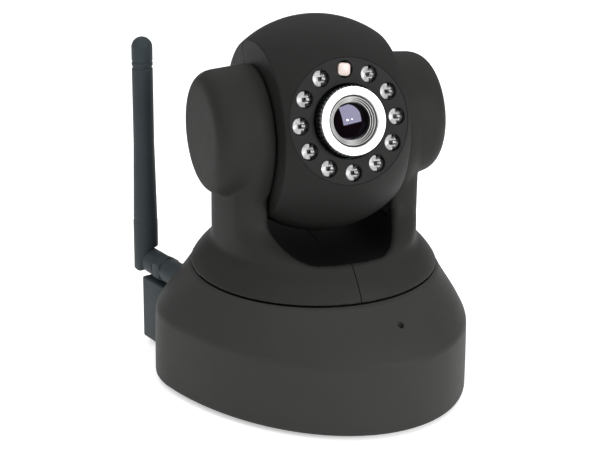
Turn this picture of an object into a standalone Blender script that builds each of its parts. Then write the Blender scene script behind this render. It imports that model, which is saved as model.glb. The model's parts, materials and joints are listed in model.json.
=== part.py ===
"""Pan and tilt network camera: base, turning turret, tilting head, lens and folding antenna.

Dimensions are in millimetres and are scaled by MM where geometry is made. The origin is on the
pan axis, in the plane that the rubber feet stand on. The base's front faces -Y, its sockets +Y.
"""
import math

import bmesh
import bpy
from mathutils import Matrix, Vector

MM = 0.001
WALL = 1.8
GAP = 0.3
ROUND_STEPS = 36
SMALL_STEPS = 12

# ---- base -------------------------------------------------------------------------------
FOOT_HEIGHT = 1.7
BASE_BOTTOM = 2.0
BASE_HALF_WIDTH = 49.3
BASE_FRONT = 56.5
BASE_REAR = 46.0
BASE_CENTRE_Y = 11.5
DECK_Z = 38.5
DECK_RADIUS = 40.0
DECK_HOLE_RADIUS = 13.8
# Side profile of the base: (share of the way from the oval foot to the round deck, height)
BASE_PROFILE = (
    (0.00, BASE_BOTTOM), (0.03, 22.0), (0.08, 24.5), (0.17, 26.4),
    (0.30, 28.7), (0.48, 31.2), (0.73, 34.2), (1.00, DECK_Z),
)
PLATE_THICKNESS = 2.4
PLATE_REAR_Y = 30.6
FOOT_RADIUS = 4.5
FOOT_PLACES = {"front_left": (-25.0, -37.0), "front_right": (25.0, -37.0),
               "rear_left": (-38.0, 22.0), "rear_right": (38.0, 22.0)}
SCREW_PLACES = ((-29.0, -23.0), (29.0, -23.0), (-29.0, 16.0), (29.0, 16.0))
POST_RADIUS = 2.8
SCREW_SHANK_RADIUS = 1.3
SCREW_HEAD_RADIUS = 2.6
TRIPOD_BORE_RADIUS = 3.1
TRIPOD_INSERT_RADIUS = 4.5
TRIPOD_INSERT_TOP = 8.3
RESET_PLACE = (20.0, 12.0)
MIC_PLACE = (-1.7, -46.6, 32.6)

# ---- rear panel -------------------------------------------------------------------------
HOUSING_HALF_WIDTH = 35.0
HOUSING_FRONT_Y = 31.0
HOUSING_REAR_Y = 49.3
HOUSING_TOP = 24.0
BOARD_Z = 6.4
BOARD_THICKNESS = 1.6
SOCKET_Z = BOARD_Z + BOARD_THICKNESS + GAP
SOCKET_FACE_Y = 48.9
ETHERNET_X = -13.5
DC_X = 0.5
AUDIO_OUT_X = 9.5
AUDIO_IN_X = 17.5
TERMINAL_X = 27.0

# ---- antenna ----------------------------------------------------------------------------
ANTENNA_X = -31.3
ANTENNA_Z = 29.0
ANTENNA_HINGE_Y = 52.4
ANTENNA_RADIUS = 4.1
ANTENNA_TIP_RADIUS = 3.45
ANTENNA_TIP_Z = 106.0
KNUCKLE_START_Y = 42.6

# ---- turret -----------------------------------------------------------------------------
PAN_REST_DEG = -15.3
TURRET_BOTTOM = 39.2
SKIRT_TOP_RADIUS = 33.6
SKIRT_TOP = 49.3
SADDLE_CENTRE = 46.2
ARM_RADIUS = 33.0
ARM_INNER_X = 20.8
ARM_HALF_DEPTH = 14.5
POD_INNER_RADIUS = 20.4
POD_OUTER_RADIUS = 19.4
POD_OUTER_X = 38.7
HUB_RADIUS = 9.5
HUB_BORE_RADIUS = 5.5
HUB_BOTTOM = 30.0

# ---- gears ------------------------------------------------------------------------------
PAN_GEAR_TEETH = 50
PAN_PINION_TEETH = 15
PAN_MODULE = 0.8
TILT_GEAR_TEETH = 20
TILT_PINION_TEETH = 10
TILT_MODULE = 0.6
GEAR_SLACK = 0.2
PAN_MOTOR_OFFSET = (7.0, -3.0)

# ---- head -------------------------------------------------------------------------------
TILT_REST_DEG = -17.0
TILT_Z = 85.15
HEAD_RADIUS = 34.1
HEAD_HALF_WIDTH = 20.2
HEAD_SPLIT_Y = 4.0
FACE_RADIUS = 19.2
FACE_FRONT = 28.15
LED_CIRCLE_RADIUS = 15.6
LED_RADIUS = 2.4
LED_PLACES = 12
LENS_FRONT = 31.95
RING_RADIUS = 10.8
RING_BORE_RADIUS = 7.7
GLASS_RADIUS = 5.1
TRUNNION_RADIUS = 5.0


def new_collection(name):
    collection = bpy.data.collections.new(name)
    bpy.context.scene.collection.children.link(collection)
    return collection


for old in list(bpy.data.objects):
    bpy.data.objects.remove(old, do_unlink=True)
PARTS = new_collection("security_camera")
CUTTERS = new_collection("cutters")


# ---- materials --------------------------------------------------------------------------
def material(name, colour, roughness, metallic=0.0):
    made = bpy.data.materials.new(name)
    made.use_nodes = True
    shader = made.node_tree.nodes["Principled BSDF"]
    shader.inputs["Base Color"].default_value = (*colour, 1.0)
    shader.inputs["Roughness"].default_value = roughness
    shader.inputs["Metallic"].default_value = metallic
    return made


FINISHES = {
    "charcoal": ((0.045, 0.045, 0.043), 0.55, 0.0),
    "slate": ((0.060, 0.072, 0.080), 0.50, 0.0),
    "black": ((0.012, 0.012, 0.013), 0.45, 0.0),
    "rubber": ((0.020, 0.020, 0.020), 0.80, 0.0),
    "steel": ((0.620, 0.620, 0.600), 0.30, 1.0),
    "silver": ((0.780, 0.780, 0.770), 0.28, 1.0),
    "brass": ((0.720, 0.520, 0.200), 0.30, 1.0),
    "board": ((0.020, 0.130, 0.050), 0.45, 0.0),
    "connector": ((0.050, 0.300, 0.130), 0.45, 0.0),
    "white": ((0.780, 0.770, 0.740), 0.45, 0.0),
    "lens_glass": ((0.040, 0.030, 0.080), 0.05, 0.0),
    "led_lens": ((0.850, 0.850, 0.860), 0.08, 0.0),
    "sensor_window": ((0.800, 0.660, 0.580), 0.35, 0.0),
}


# ---- object helpers ---------------------------------------------------------------------
def place(obj, finish, parent, location, rotation):
    """Put an object in the parts, or in the hidden cutters when it has no finish."""
    obj.location = Vector(location) * MM
    obj.rotation_euler = rotation
    obj.parent = parent
    if finish is None:
        CUTTERS.objects.link(obj)
        obj.hide_render = True
        obj.display_type = "WIRE"
    else:
        PARTS.objects.link(obj)
        obj.data.materials.append(material(obj.name + "_finish", *FINISHES[finish]))
    return obj


def mesh_object(name, bm, finish, parent=None, location=(0, 0, 0), rotation=(0, 0, 0)):
    bmesh.ops.recalc_face_normals(bm, faces=bm.faces[:])
    mesh = bpy.data.meshes.new(name)
    bm.to_mesh(mesh)
    bm.free()
    return place(bpy.data.objects.new(name, mesh), finish, parent, location, rotation)


def smooth(obj, degrees=35):
    obj.data.shade_smooth()
    obj.data.set_sharp_from_angle(angle=math.radians(degrees))
    return obj


def empty(name, parent=None, location=(0, 0, 0), rotation=(0, 0, 0)):
    made = bpy.data.objects.new(name, None)
    made.empty_display_size = 0.01
    made.location = Vector(location) * MM
    made.rotation_euler = rotation
    made.parent = parent
    PARTS.objects.link(made)
    return made


AXIS_TURN = {"+Z": (0, 0, 0), "+X": (0, math.pi / 2, 0), "-X": (0, -math.pi / 2, 0),
             "+Y": (-math.pi / 2, 0, 0), "-Y": (math.pi / 2, 0, 0)}


def turned(name, profile, finish, parent=None, location=(0, 0, 0), axis="+Z", steps=SMALL_STEPS,
           closed=False):
    """A turned solid: (radius, height) points that run down its outer side, top to bottom."""
    mesh = bpy.data.meshes.new(name)
    points = [(r * MM, 0, z * MM) for r, z in profile]
    edges = [(i, i + 1) for i in range(len(points) - 1)]
    if closed:
        edges.append((len(points) - 1, 0))
    mesh.from_pydata(points, edges, [])
    obj = place(bpy.data.objects.new(name, mesh), finish, parent, location, AXIS_TURN[axis])
    spin = obj.modifiers.new("turn", "SCREW")
    spin.axis = "Z"
    spin.steps = steps
    spin.render_steps = steps
    spin.use_merge_vertices = True
    spin.merge_threshold = 0.00001
    spin.use_smooth_shade = True
    return obj


def tube(name, outer, inner, low, high, finish, **where):
    profile = ((outer, high), (outer, low), (inner, low), (inner, high))
    return turned(name, profile, finish, closed=True, **where)


def rod(name, radius, low, high, finish, **where):
    return turned(name, ((0, high), (radius, high), (radius, low), (0, low)), finish, **where)


def box(name, low, high, finish, parent=None, bevel=0.0):
    """An upright box between two corners, with its origin at its centre."""
    size = Vector(high) - Vector(low)
    centre = (Vector(high) + Vector(low)) / 2
    bm = bmesh.new()
    bmesh.ops.create_cube(bm, size=1.0, matrix=Matrix.Diagonal((*(size * MM), 1.0)))
    obj = mesh_object(name, bm, finish, parent, centre)
    if bevel:
        edge = obj.modifiers.new("rounded_edges", "BEVEL")
        edge.width = bevel * MM
        edge.segments = 2
    return obj


def prism(name, outline, low, high, finish, parent=None, axis="+Z", location=(0, 0, 0)):
    """A flat outline of (x, y) points made solid between two heights."""
    bm = bmesh.new()
    foot = bm.faces.new([bm.verts.new((x * MM, y * MM, low * MM)) for x, y in outline])
    grown = bmesh.ops.extrude_face_region(bm, geom=[foot])
    raised = [item for item in grown["geom"] if isinstance(item, bmesh.types.BMVert)]
    bmesh.ops.translate(bm, verts=raised, vec=(0, 0, (high - low) * MM))
    return mesh_object(name, bm, finish, parent, location, AXIS_TURN[axis])


def combine(obj, other, operation="DIFFERENCE"):
    change = obj.modifiers.new(other.name, "BOOLEAN")
    change.operation = operation
    change.solver = "EXACT"
    change.object = other
    return obj


def cut(obj, *cutters):
    for cutter in cutters:
        combine(obj, cutter)
    return obj


def join(obj, *pieces):
    for piece in pieces:
        combine(obj, piece, "UNION")
    return obj


def circle_points(radius, count, centre=(0, 0), start=0.0, sweep=2 * math.pi):
    step = sweep / count
    return [(centre[0] + radius * math.cos(start + i * step),
             centre[1] + radius * math.sin(start + i * step)) for i in range(count)]


def oval_points(count, share=0.0, inset=0.0):
    """Base outline, share of the way from the oval foot to the round deck."""
    points = []
    for i in range(count):
        angle = 2 * math.pi * i / count
        reach = BASE_REAR - BASE_CENTRE_Y if math.sin(angle) > 0 else BASE_FRONT + BASE_CENTRE_Y
        x = (BASE_HALF_WIDTH - inset) * math.cos(angle)
        y = BASE_CENTRE_Y + (reach - inset) * math.sin(angle)
        x += (DECK_RADIUS * math.cos(angle) - x) * share
        y += (DECK_RADIUS * math.sin(angle) - y) * share
        points.append((x, y))
    return points


def loft(name, rings, finish):
    """An open skin through rings of (x, y, z) points that all have the same count."""
    bm = bmesh.new()
    rows = [[bm.verts.new(Vector(point) * MM) for point in ring] for ring in rings]
    for lower, upper in zip(rows, rows[1:]):
        for i in range(len(lower)):
            k = (i + 1) % len(lower)
            bm.faces.new((lower[i], lower[k], upper[k], upper[i]))
    return mesh_object(name, bm, finish)


def gear_outline(teeth, module, phase=0.0):
    """Straight-sided teeth, thinner than half a pitch so that a pair runs with backlash."""
    pitch = teeth * module / 2
    corners = ((-0.25, pitch - 1.15 * module), (-0.10, pitch + 0.8 * module),
               (0.10, pitch + 0.8 * module), (0.25, pitch - 1.15 * module))
    outline = []
    for tooth in range(teeth):
        for offset, radius in corners:
            angle = phase + 2 * math.pi * (tooth + offset) / teeth
            outline.append((radius * math.cos(angle), radius * math.sin(angle)))
    return outline


# ---- base -------------------------------------------------------------------------------
def make_base_shell():
    rings = [[(x, y, z) for x, y in oval_points(ROUND_STEPS, share)] for share, z in BASE_PROFILE]
    rings.append([(x, y, DECK_Z) for x, y in circle_points(DECK_HOLE_RADIUS, ROUND_STEPS)])
    shell = smooth(loft("base_shell", rings, "charcoal"))
    skin = shell.modifiers.new("wall", "SOLIDIFY")
    skin.thickness = WALL * MM
    skin.offset = -1.0
    skin.use_even_offset = True
    for number, (x, y) in enumerate(SCREW_PLACES, 1):
        where = {"location": (x, y, 0)}
        post = rod(f"post_{number}", POST_RADIUS, 4.7, DECK_Z - 1.0, None, **where)
        pilot = rod(f"pilot_{number}", SCREW_SHANK_RADIUS + GAP, 0.0, 16.0, None, **where)
        join(shell, post)
        cut(shell, pilot)
    window = box("housing_window", (-HOUSING_HALF_WIDTH - GAP, 25.0, -5.0),
                 (HOUSING_HALF_WIDTH + GAP, 60.0, HOUSING_TOP + GAP), None)
    antenna_hole = rod("antenna_hole", ANTENNA_RADIUS + GAP, 20.0, 45.0, None,
                       location=(ANTENNA_X, 0, ANTENNA_Z), axis="+Y")
    antenna_seat = rod("antenna_seat", 5.4, 37.6, 50.0, None,
                       location=(ANTENNA_X, 0, ANTENNA_Z), axis="+Y", steps=20)
    mic_hole = rod("mic_hole", 0.8, -6.0, 6.0, None, location=MIC_PLACE, steps=12)
    return cut(shell, window, antenna_hole, antenna_seat, mic_hole)


def make_base_plate():
    rim = [(x, min(y, PLATE_REAR_Y)) for x, y in oval_points(ROUND_STEPS, 0.0, WALL + 0.4)]
    rim = [point for i, point in enumerate(rim) if point != rim[i - 1]]
    flat = [point for point in rim if point[1] < PLATE_REAR_Y]
    half = max(x for x, y in rim if y == PLATE_REAR_Y)
    turn = next(i for i, point in enumerate(flat) if point[0] < 0 and point[1] > 0)
    flat[turn:turn] = [(half, PLATE_REAR_Y), (-half, PLATE_REAR_Y)]
    top = BASE_BOTTOM + PLATE_THICKNESS
    plate = prism("base_plate", flat, BASE_BOTTOM, top, "charcoal")
    join(plate, rod("tripod_boss", 7.0, top - 0.5, TRIPOD_INSERT_TOP + 1.0, None, steps=20))
    cut(plate, rod("tripod_pocket", TRIPOD_INSERT_RADIUS + GAP, 0.0, TRIPOD_INSERT_TOP + GAP,
                   None, steps=20))
    for number, (x, y) in enumerate(SCREW_PLACES, 1):
        where = {"location": (x, y, 0)}
        cut(plate, rod(f"screw_hole_{number}", SCREW_SHANK_RADIUS + GAP, 0.0, 6.0, None, **where),
            rod(f"screw_sink_{number}", SCREW_HEAD_RADIUS + GAP, 0.0, 3.4, None, **where))
    cut(plate, rod("reset_hole", 2.0, 0.0, 6.0, None, location=(*RESET_PLACE, 0)))
    for row in range(5):
        y = -6.0 + 3.0 * (row - 0.5)
        cut(plate, box(f"speaker_slot_{row + 1}", (-33.0, y, 0.0), (-21.0, y + 1.2, 6.0), None))
    return plate


def make_feet_and_screws():
    for label, (x, y) in FOOT_PLACES.items():
        profile = ((0, FOOT_HEIGHT), (FOOT_RADIUS, FOOT_HEIGHT), (FOOT_RADIUS, 0.4),
                   (FOOT_RADIUS - 0.4, 0.0), (0, 0.0))
        turned("rubber_foot_" + label, profile, "rubber", location=(x, y, 0), steps=16)
    for number, (x, y) in enumerate(SCREW_PLACES, 1):
        profile = ((0, 14.0), (SCREW_SHANK_RADIUS, 14.0), (SCREW_SHANK_RADIUS, 3.1),
                   (SCREW_HEAD_RADIUS, 3.1), (SCREW_HEAD_RADIUS, 2.5), (1.8, 2.1), (0, 2.1))
        screw = turned(f"base_screw_{number}", profile, "steel", location=(x, y, 0), steps=10)
        for turn, half in (("a", (1.3, 0.25)), ("b", (0.25, 1.3))):
            slot = box(f"cross_{number}{turn}", (x - half[0], y - half[1], 1.5),
                       (x + half[0], y + half[1], 2.9), None)
            cut(screw, slot)


def make_tripod_insert():
    insert = turned("tripod_insert", (
        (TRIPOD_INSERT_RADIUS, TRIPOD_INSERT_TOP), (TRIPOD_INSERT_RADIUS, 6.0),
        (TRIPOD_INSERT_RADIUS - 0.5, 5.7), (TRIPOD_INSERT_RADIUS - 0.5, 4.9),
        (TRIPOD_INSERT_RADIUS, 4.6), (TRIPOD_INSERT_RADIUS, 2.2), (TRIPOD_BORE_RADIUS, 2.2),
        (TRIPOD_BORE_RADIUS, TRIPOD_INSERT_TOP)), "brass", steps=20, closed=True)
    return insert


def make_rear_housing():
    low = (-HOUSING_HALF_WIDTH, HOUSING_FRONT_Y, BASE_BOTTOM)
    high = (HOUSING_HALF_WIDTH, HOUSING_REAR_Y, HOUSING_TOP)
    housing = box("rear_housing", low, high, "slate", bevel=1.5)
    cut(housing, box("housing_hollow", (low[0] + WALL, 20.0, low[2] + WALL),
                     (high[0] - WALL, high[1] - WALL, high[2] - WALL), None))
    reach = (HOUSING_REAR_Y - 4.0, HOUSING_REAR_Y + 4.0)
    top = SOCKET_Z + 13.0 + GAP
    cut(housing, box("ethernet_window", (ETHERNET_X - 8.2, reach[0], SOCKET_Z - GAP),
                     (ETHERNET_X + 8.2, reach[1], top), None))
    cut(housing, box("terminal_window", (TERMINAL_X - 5.6, reach[0], SOCKET_Z - GAP),
                     (TERMINAL_X + 5.6, reach[1], SOCKET_Z + 9.0), None))
    for label, x, z, radius in (("dc", DC_X, SOCKET_Z + 5.6, 4.3),
                                ("audio_out", AUDIO_OUT_X, SOCKET_Z + 4.2, 3.3),
                                ("audio_in", AUDIO_IN_X, SOCKET_Z + 4.2, 3.3)):
        hole = rod(label + "_window", radius, *reach, None, location=(x, 0, z), axis="+Y", steps=16)
        cut(housing, hole)
    return housing


def make_sockets():
    back = 35.5
    ethernet = box("ethernet_jack", (ETHERNET_X - 7.9, back - 1.5, SOCKET_Z),
                   (ETHERNET_X + 7.9, SOCKET_FACE_Y, SOCKET_Z + 13.0), "steel")
    cut(ethernet, box("ethernet_hollow", (ETHERNET_X - 5.9, 38.0, SOCKET_Z + 2.0),
                      (ETHERNET_X + 5.9, 60.0, SOCKET_Z + 9.0), None))
    cut(ethernet, box("ethernet_latch_1", (ETHERNET_X - 3.0, 38.0, SOCKET_Z + 8.5),
                      (ETHERNET_X + 3.0, 60.0, SOCKET_Z + 10.6), None))

    dc = box("dc_power_jack", (DC_X - 4.6, back, SOCKET_Z),
             (DC_X + 4.6, HOUSING_REAR_Y - WALL - GAP, SOCKET_Z + 11.0), "black")
    where = {"location": (DC_X, 0, SOCKET_Z + 5.6), "axis": "+Y", "steps": 16}
    join(dc, rod("dc_nose", 4.0, 45.0, SOCKET_FACE_Y, None, **where))
    cut(dc, rod("dc_bore", 2.8, 39.0, 60.0, None, **where))
    join(dc, rod("dc_pin", 1.0, 38.5, SOCKET_FACE_Y - 1.0, None, **where))

    for label, x, finish in (("out", AUDIO_OUT_X, "connector"), ("in", AUDIO_IN_X, "connector")):
        jack = box(f"audio_{label}_jack", (x - 3.5, back, SOCKET_Z),
                   (x + 3.5, HOUSING_REAR_Y - WALL - GAP, SOCKET_Z + 8.0), finish)
        where = {"location": (x, 0, SOCKET_Z + 4.2), "axis": "+Y", "steps": 12}
        join(jack, rod(f"audio_{label}_nose", 3.0, 45.0, SOCKET_FACE_Y, None, **where))
        cut(jack, rod(f"audio_{label}_bore", 1.8, 37.5, 60.0, None, **where))

    block = box("io_terminal_block", (TERMINAL_X - 5.3, 39.0, SOCKET_Z),
                (TERMINAL_X + 5.3, SOCKET_FACE_Y, SOCKET_Z + 8.5), "connector")
    for pole in range(4):
        x = TERMINAL_X - 3.9 + 2.6 * pole
        cut(block, box(f"wire_hole_{pole + 1}", (x - 0.85, 42.0, SOCKET_Z + 1.4),
                       (x + 0.85, 60.0, SOCKET_Z + 3.6), None))
        cut(block, rod(f"screw_recess_{pole + 1}", 0.8, 44.0, 60.0, None,
                       location=(x, 0, SOCKET_Z + 6.2), axis="+Y", steps=10))


def make_main_board():
    top = BOARD_Z + BOARD_THICKNESS
    outline = ((-25, 9), (25, 9), (25, 23), (31, 23), (31, 37), (-31, 37), (-31, 23), (-25, 23))
    board = prism("main_board", outline, BOARD_Z, top, "board")
    chips = ((-6, 10, 6, 22, 1.4), (10, 11, 18, 19, 1.2), (-20, 11, -11, 20, 2.6),
             (12, 24, 18, 30, 3.2), (21, 25, 24, 28, 1.6))
    for number, (x0, y0, x1, y1, height) in enumerate(chips, 1):
        join(board, box(f"chip_{number}", (x0, y0, top - 0.2), (x1, y1, top + height), None))
    for number, (x, y) in enumerate(((22.0, 14.5), (-27.5, 27.0)), 1):
        join(board, rod(f"capacitor_{number}", 2.6, top - 0.2, top + 7.0, None, location=(x, y, 0),
                        steps=16))
    return board


def make_small_base_parts():
    wifi = box("wifi_module", (16.0, -12.0, 6.0), (38.0, 2.0, 7.0), "board")
    join(wifi, box("wifi_shield", (19.0, -10.0, 6.8), (33.0, 0.0, 9.0), None))

    (low_share, low), (high_share, high) = BASE_PROFILE[5:7]
    tilt = math.atan2(high - low, (high_share - low_share) * (BASE_FRONT - DECK_RADIUS))
    mic = rod("microphone", 2.2, -4.2, -2.3, "steel", location=MIC_PLACE, steps=20)
    mic.rotation_euler = (tilt, 0, 0)

    speaker = turned("speaker", ((0, 6.2), (4.5, 7.8), (9.2, 8.6), (10.0, 8.6), (10.0, 4.9),
                                 (8.8, 4.9), (3.5, 5.8), (0, 5.2)), "black",
                     location=(-27.0, -3.0, 0), steps=20)
    magnet = rod("speaker_magnet", 5.5, 5.9, 11.5, None, location=(-27.0, -3.0, 0), steps=16)
    join(speaker, magnet)

    turned("pan_bearing_ring", ((13.5, 38.2), (13.5, 36.4), (15.8, 36.4), (15.8, 35.2),
                                (HUB_RADIUS + GAP, 35.2), (HUB_RADIUS + GAP, 38.2)),
           "white", steps=24, closed=True)

    turned("reset_button", ((0, 5.3), (2.8, 5.3), (2.8, 4.7), (1.7, 4.7), (1.7, 2.3), (0, 2.3)),
           "black", location=(*RESET_PLACE, 0), steps=18)


def make_pan_drive():
    spacing = PAN_MODULE * (PAN_GEAR_TEETH + PAN_PINION_TEETH) / 2 + GEAR_SLACK
    body_x, body_y = PAN_MOTOR_OFFSET[0], PAN_MOTOR_OFFSET[1] - spacing
    motor = turned("pan_motor", ((0, 30.4), (13.4, 30.4), (14.0, 29.8), (14.0, 12.4),
                                 (13.4, 11.8), (0, 11.8)), "steel", location=(body_x, body_y, 0),
                   steps=24)
    join(motor, rod("pan_motor_shaft", 1.5, 29.0, 35.0, None, location=(0, -spacing, 0),
                    steps=16))
    join(motor, rod("pan_motor_boss", 3.6, 29.0, 31.0, None, location=(0, -spacing, 0),
                    steps=20))
    for side in (-1, 1):
        join(motor, box(f"pan_motor_ear_{side + 2}", (body_x + side * 16 - 4, body_y - 3.2, 29.4),
                        (body_x + side * 16 + 4, body_y + 3.2, 30.2), None))
    cut(motor, box("pan_motor_relief", (body_x - 9, body_y - 15.0, 10.0),
                   (body_x + 9, body_y - 12.9, 32.0), None))

    pinion_axis = empty("pan_pinion_axis", location=(0, -spacing, 0))
    phase = math.pi / 2 + math.pi / PAN_PINION_TEETH
    pinion = prism("pan_pinion", gear_outline(PAN_PINION_TEETH, PAN_MODULE, phase), 31.4, 34.4,
                   "white", pinion_axis)
    cut(pinion, rod("pan_pinion_bore", 1.8, 20.0, 40.0, None, parent=pinion_axis, steps=16))


# ---- turret -----------------------------------------------------------------------------
def arm_outline(side):
    """Cross-section of one arm: flat towards the head, round on the outside."""
    reach = math.sqrt(ARM_RADIUS ** 2 - ARM_HALF_DEPTH ** 2)
    spread = math.atan2(ARM_HALF_DEPTH, reach)
    outer = [(side * ARM_RADIUS * math.cos(a), ARM_RADIUS * math.sin(a))
             for a in (spread * (2 * i / 8 - 1) for i in range(9))]
    start = side * (ARM_INNER_X - 2.0)
    inner = [(start, ARM_HALF_DEPTH), (start, -ARM_HALF_DEPTH)]
    return outer + inner


def make_turret_half(side, label, pan_axis):
    """Half of the turret: skirt, arm and pod moulded in one, hollow from below and inside."""
    toward = "+X" if side > 0 else "-X"
    axis_at = {"parent": pan_axis, "location": (0, 0, TILT_Z), "axis": toward, "steps": 30}
    start = ARM_INNER_X - 3.0
    half = smooth(turned(f"turret_{label}_half", (
        (0, POD_OUTER_X), (8.0, POD_OUTER_X - 0.2), (POD_OUTER_RADIUS - 4.8, POD_OUTER_X - 0.6),
        (POD_OUTER_RADIUS - 2.4, POD_OUTER_X - 1.3), (POD_OUTER_RADIUS - 0.7, POD_OUTER_X - 3.0),
        (POD_OUTER_RADIUS, POD_OUTER_X - 5.2), (POD_INNER_RADIUS, ARM_INNER_X + 0.6),
        (POD_INNER_RADIUS - 0.6, ARM_INNER_X - 0.1), (POD_INNER_RADIUS - 0.6, start),
        (0, start)), "charcoal", **axis_at))
    join(half, prism(f"arm_{label}", arm_outline(side), 45.5, TILT_Z, None, pan_axis))
    gap = ARM_INNER_X
    cut(half, box(f"head_gap_{label}", (-gap, -60, 40), (gap, 60, 130), None, pan_axis))
    skirt = turned(f"skirt_{label}", (
        (0, SADDLE_CENTRE), (12.0, SADDLE_CENTRE + 0.4), (24.0, SADDLE_CENTRE + 1.6),
        (SKIRT_TOP_RADIUS - 0.6, SKIRT_TOP - 0.1), (SKIRT_TOP_RADIUS, SKIRT_TOP - 0.5),
        (39.6, 40.4), (40.0, TURRET_BOTTOM),
        (40.0 - WALL, TURRET_BOTTOM), (37.6, 40.8), (31.9, SKIRT_TOP - 2.3),
        (24.0, SADDLE_CENTRE - 0.4), (12.0, SADDLE_CENTRE - 1.6), (0, SADDLE_CENTRE - WALL)),
        None, parent=pan_axis, steps=36)
    join(half, skirt)

    hollow = turned(f"pod_hollow_{label}", (
        (0, POD_OUTER_X - 1.9), (POD_OUTER_RADIUS - 5.4, POD_OUTER_X - 2.4),
        (POD_OUTER_RADIUS - 2.4, POD_OUTER_X - 3.9), (POD_OUTER_RADIUS - 1.8, POD_OUTER_X - 5.6),
        (POD_INNER_RADIUS - 1.7, start), (0, start)), None, **axis_at)
    inner = sorted((side * (ARM_INNER_X - 1.0), side * (ARM_RADIUS - 4.0)))
    slot = box(f"arm_hollow_{label}", (inner[0], 1.8 - ARM_HALF_DEPTH, 43.0),
               (inner[1], ARM_HALF_DEPTH - 1.8, TILT_Z), None, pan_axis)
    apart = sorted((-side * 60.0, side * GAP / 2))
    plane = box(f"turret_split_{label}", (apart[0], -60, 30), (apart[1], 60, 130), None, pan_axis)
    cut(half, hollow, slot, plane)
    return half


def make_arm_cover(side, label, pan_axis):
    """Inner cover of one arm, with the bush that the head's trunnion turns in."""
    radius = POD_INNER_RADIUS - 2.8
    half_depth = ARM_HALF_DEPTH - 2.2
    spread = math.asin(half_depth / radius)
    count = 20
    start = -math.pi / 2 + spread
    sweep = 2 * math.pi - 2 * spread
    outline = [(radius * math.cos(start + sweep * i / count),
                radius * math.sin(start + sweep * i / count)) for i in range(count + 1)]
    foot = TILT_Z - 51.0
    outline += [(-half_depth, -foot), (half_depth, -foot)]
    # The outline's y is up in the turret, its x runs along the turret's depth.
    turned_outline = [(-y if side > 0 else y, x) for x, y in outline]
    toward = "+X" if side > 0 else "-X"
    low = ARM_INNER_X + 0.1
    cover = prism(label + "_arm_cover", turned_outline, low, low + 1.7, "black", pan_axis,
                  toward, (0, 0, TILT_Z))
    bush_at = {"parent": pan_axis, "location": (0, 0, TILT_Z), "axis": toward, "steps": 20}
    join(cover, rod(label + "_bush", TRUNNION_RADIUS + 2.0, low + 1.2, low + 3.0, None, **bush_at))
    return cut(cover, rod(label + "_bush_bore", TRUNNION_RADIUS + GAP, 10.0, 30.0, None, **bush_at))


def make_turret():
    pan_axis = empty("pan_axis", rotation=(0, 0, math.radians(PAN_REST_DEG)))
    for side, label in ((-1, "left"), (1, "right")):
        make_turret_half(side, label, pan_axis)
        make_arm_cover(side, label, pan_axis)
    floor_top = TURRET_BOTTOM + 1.9
    turned("turret_base", ((36.2, floor_top), (36.2, TURRET_BOTTOM + 0.1),
                           (HUB_RADIUS, TURRET_BOTTOM + 0.1), (HUB_RADIUS, HUB_BOTTOM),
                           (HUB_BORE_RADIUS, HUB_BOTTOM), (HUB_BORE_RADIUS, floor_top)),
           "black", parent=pan_axis, steps=30, closed=True)

    # The gears mesh at rest: a tooth of the wheel faces the pinion, whatever the rest pan is.
    to_pinion = -math.pi / 2 - math.radians(PAN_REST_DEG)
    wheel = prism("pan_gear", gear_outline(PAN_GEAR_TEETH, PAN_MODULE, to_pinion), 31.2, 34.6,
                  "white", pan_axis)
    cut(wheel, rod("pan_gear_bore", HUB_RADIUS + GAP, 20.0, 40.0, None, parent=pan_axis,
                   steps=24))
    make_tilt_drive(pan_axis)
    return pan_axis


def make_tilt_drive(pan_axis):
    """Small stepper motor in the right pod, above the trunnion, with its pinion."""
    spacing = TILT_MODULE * (TILT_GEAR_TEETH + TILT_PINION_TEETH) / 2 + GEAR_SLACK
    above = {"parent": pan_axis, "location": (0, 0, TILT_Z + spacing), "axis": "+X"}
    motor = turned("tilt_motor", ((0, 34.4), (7.0, 34.4), (7.4, 34.0), (7.4, 28.8), (7.0, 28.4),
                                  (0, 28.4)), "steel", steps=20, **above)
    join(motor, rod("tilt_motor_shaft", 0.8, 24.6, 29.0, None, steps=12, **above))
    pinion_axis = empty("tilt_pinion_axis", pan_axis, (0, 0, TILT_Z + spacing))
    phase = math.pi / TILT_PINION_TEETH
    pinion = prism("tilt_pinion", gear_outline(TILT_PINION_TEETH, TILT_MODULE, phase), 24.9, 27.6,
                   "white", pinion_axis, "+X")
    cut(pinion, rod("tilt_pinion_bore", 1.1, 20.0, 30.0, None, parent=pinion_axis, axis="+X",
                    steps=12))


# ---- head -------------------------------------------------------------------------------
def head_solid(name, radius, half_width, finish, tilt_axis, columns, rows):
    """A ball cut flat on its left and right."""
    bm = bmesh.new()
    bmesh.ops.create_uvsphere(bm, u_segments=columns, v_segments=rows, radius=radius * MM,
                              matrix=Matrix.Rotation(math.pi / 2, 4, "Y"))
    for side in (-1, 1):
        sliced = bmesh.ops.bisect_plane(bm, geom=bm.verts[:] + bm.edges[:] + bm.faces[:],
                                        plane_co=(side * half_width * MM, 0, 0),
                                        plane_no=(side, 0, 0), clear_outer=True)
        rim = [item for item in sliced["geom_cut"] if isinstance(item, bmesh.types.BMEdge)]
        bmesh.ops.contextual_create(bm, geom=rim)
    return mesh_object(name, bm, finish, tilt_axis)


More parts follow.
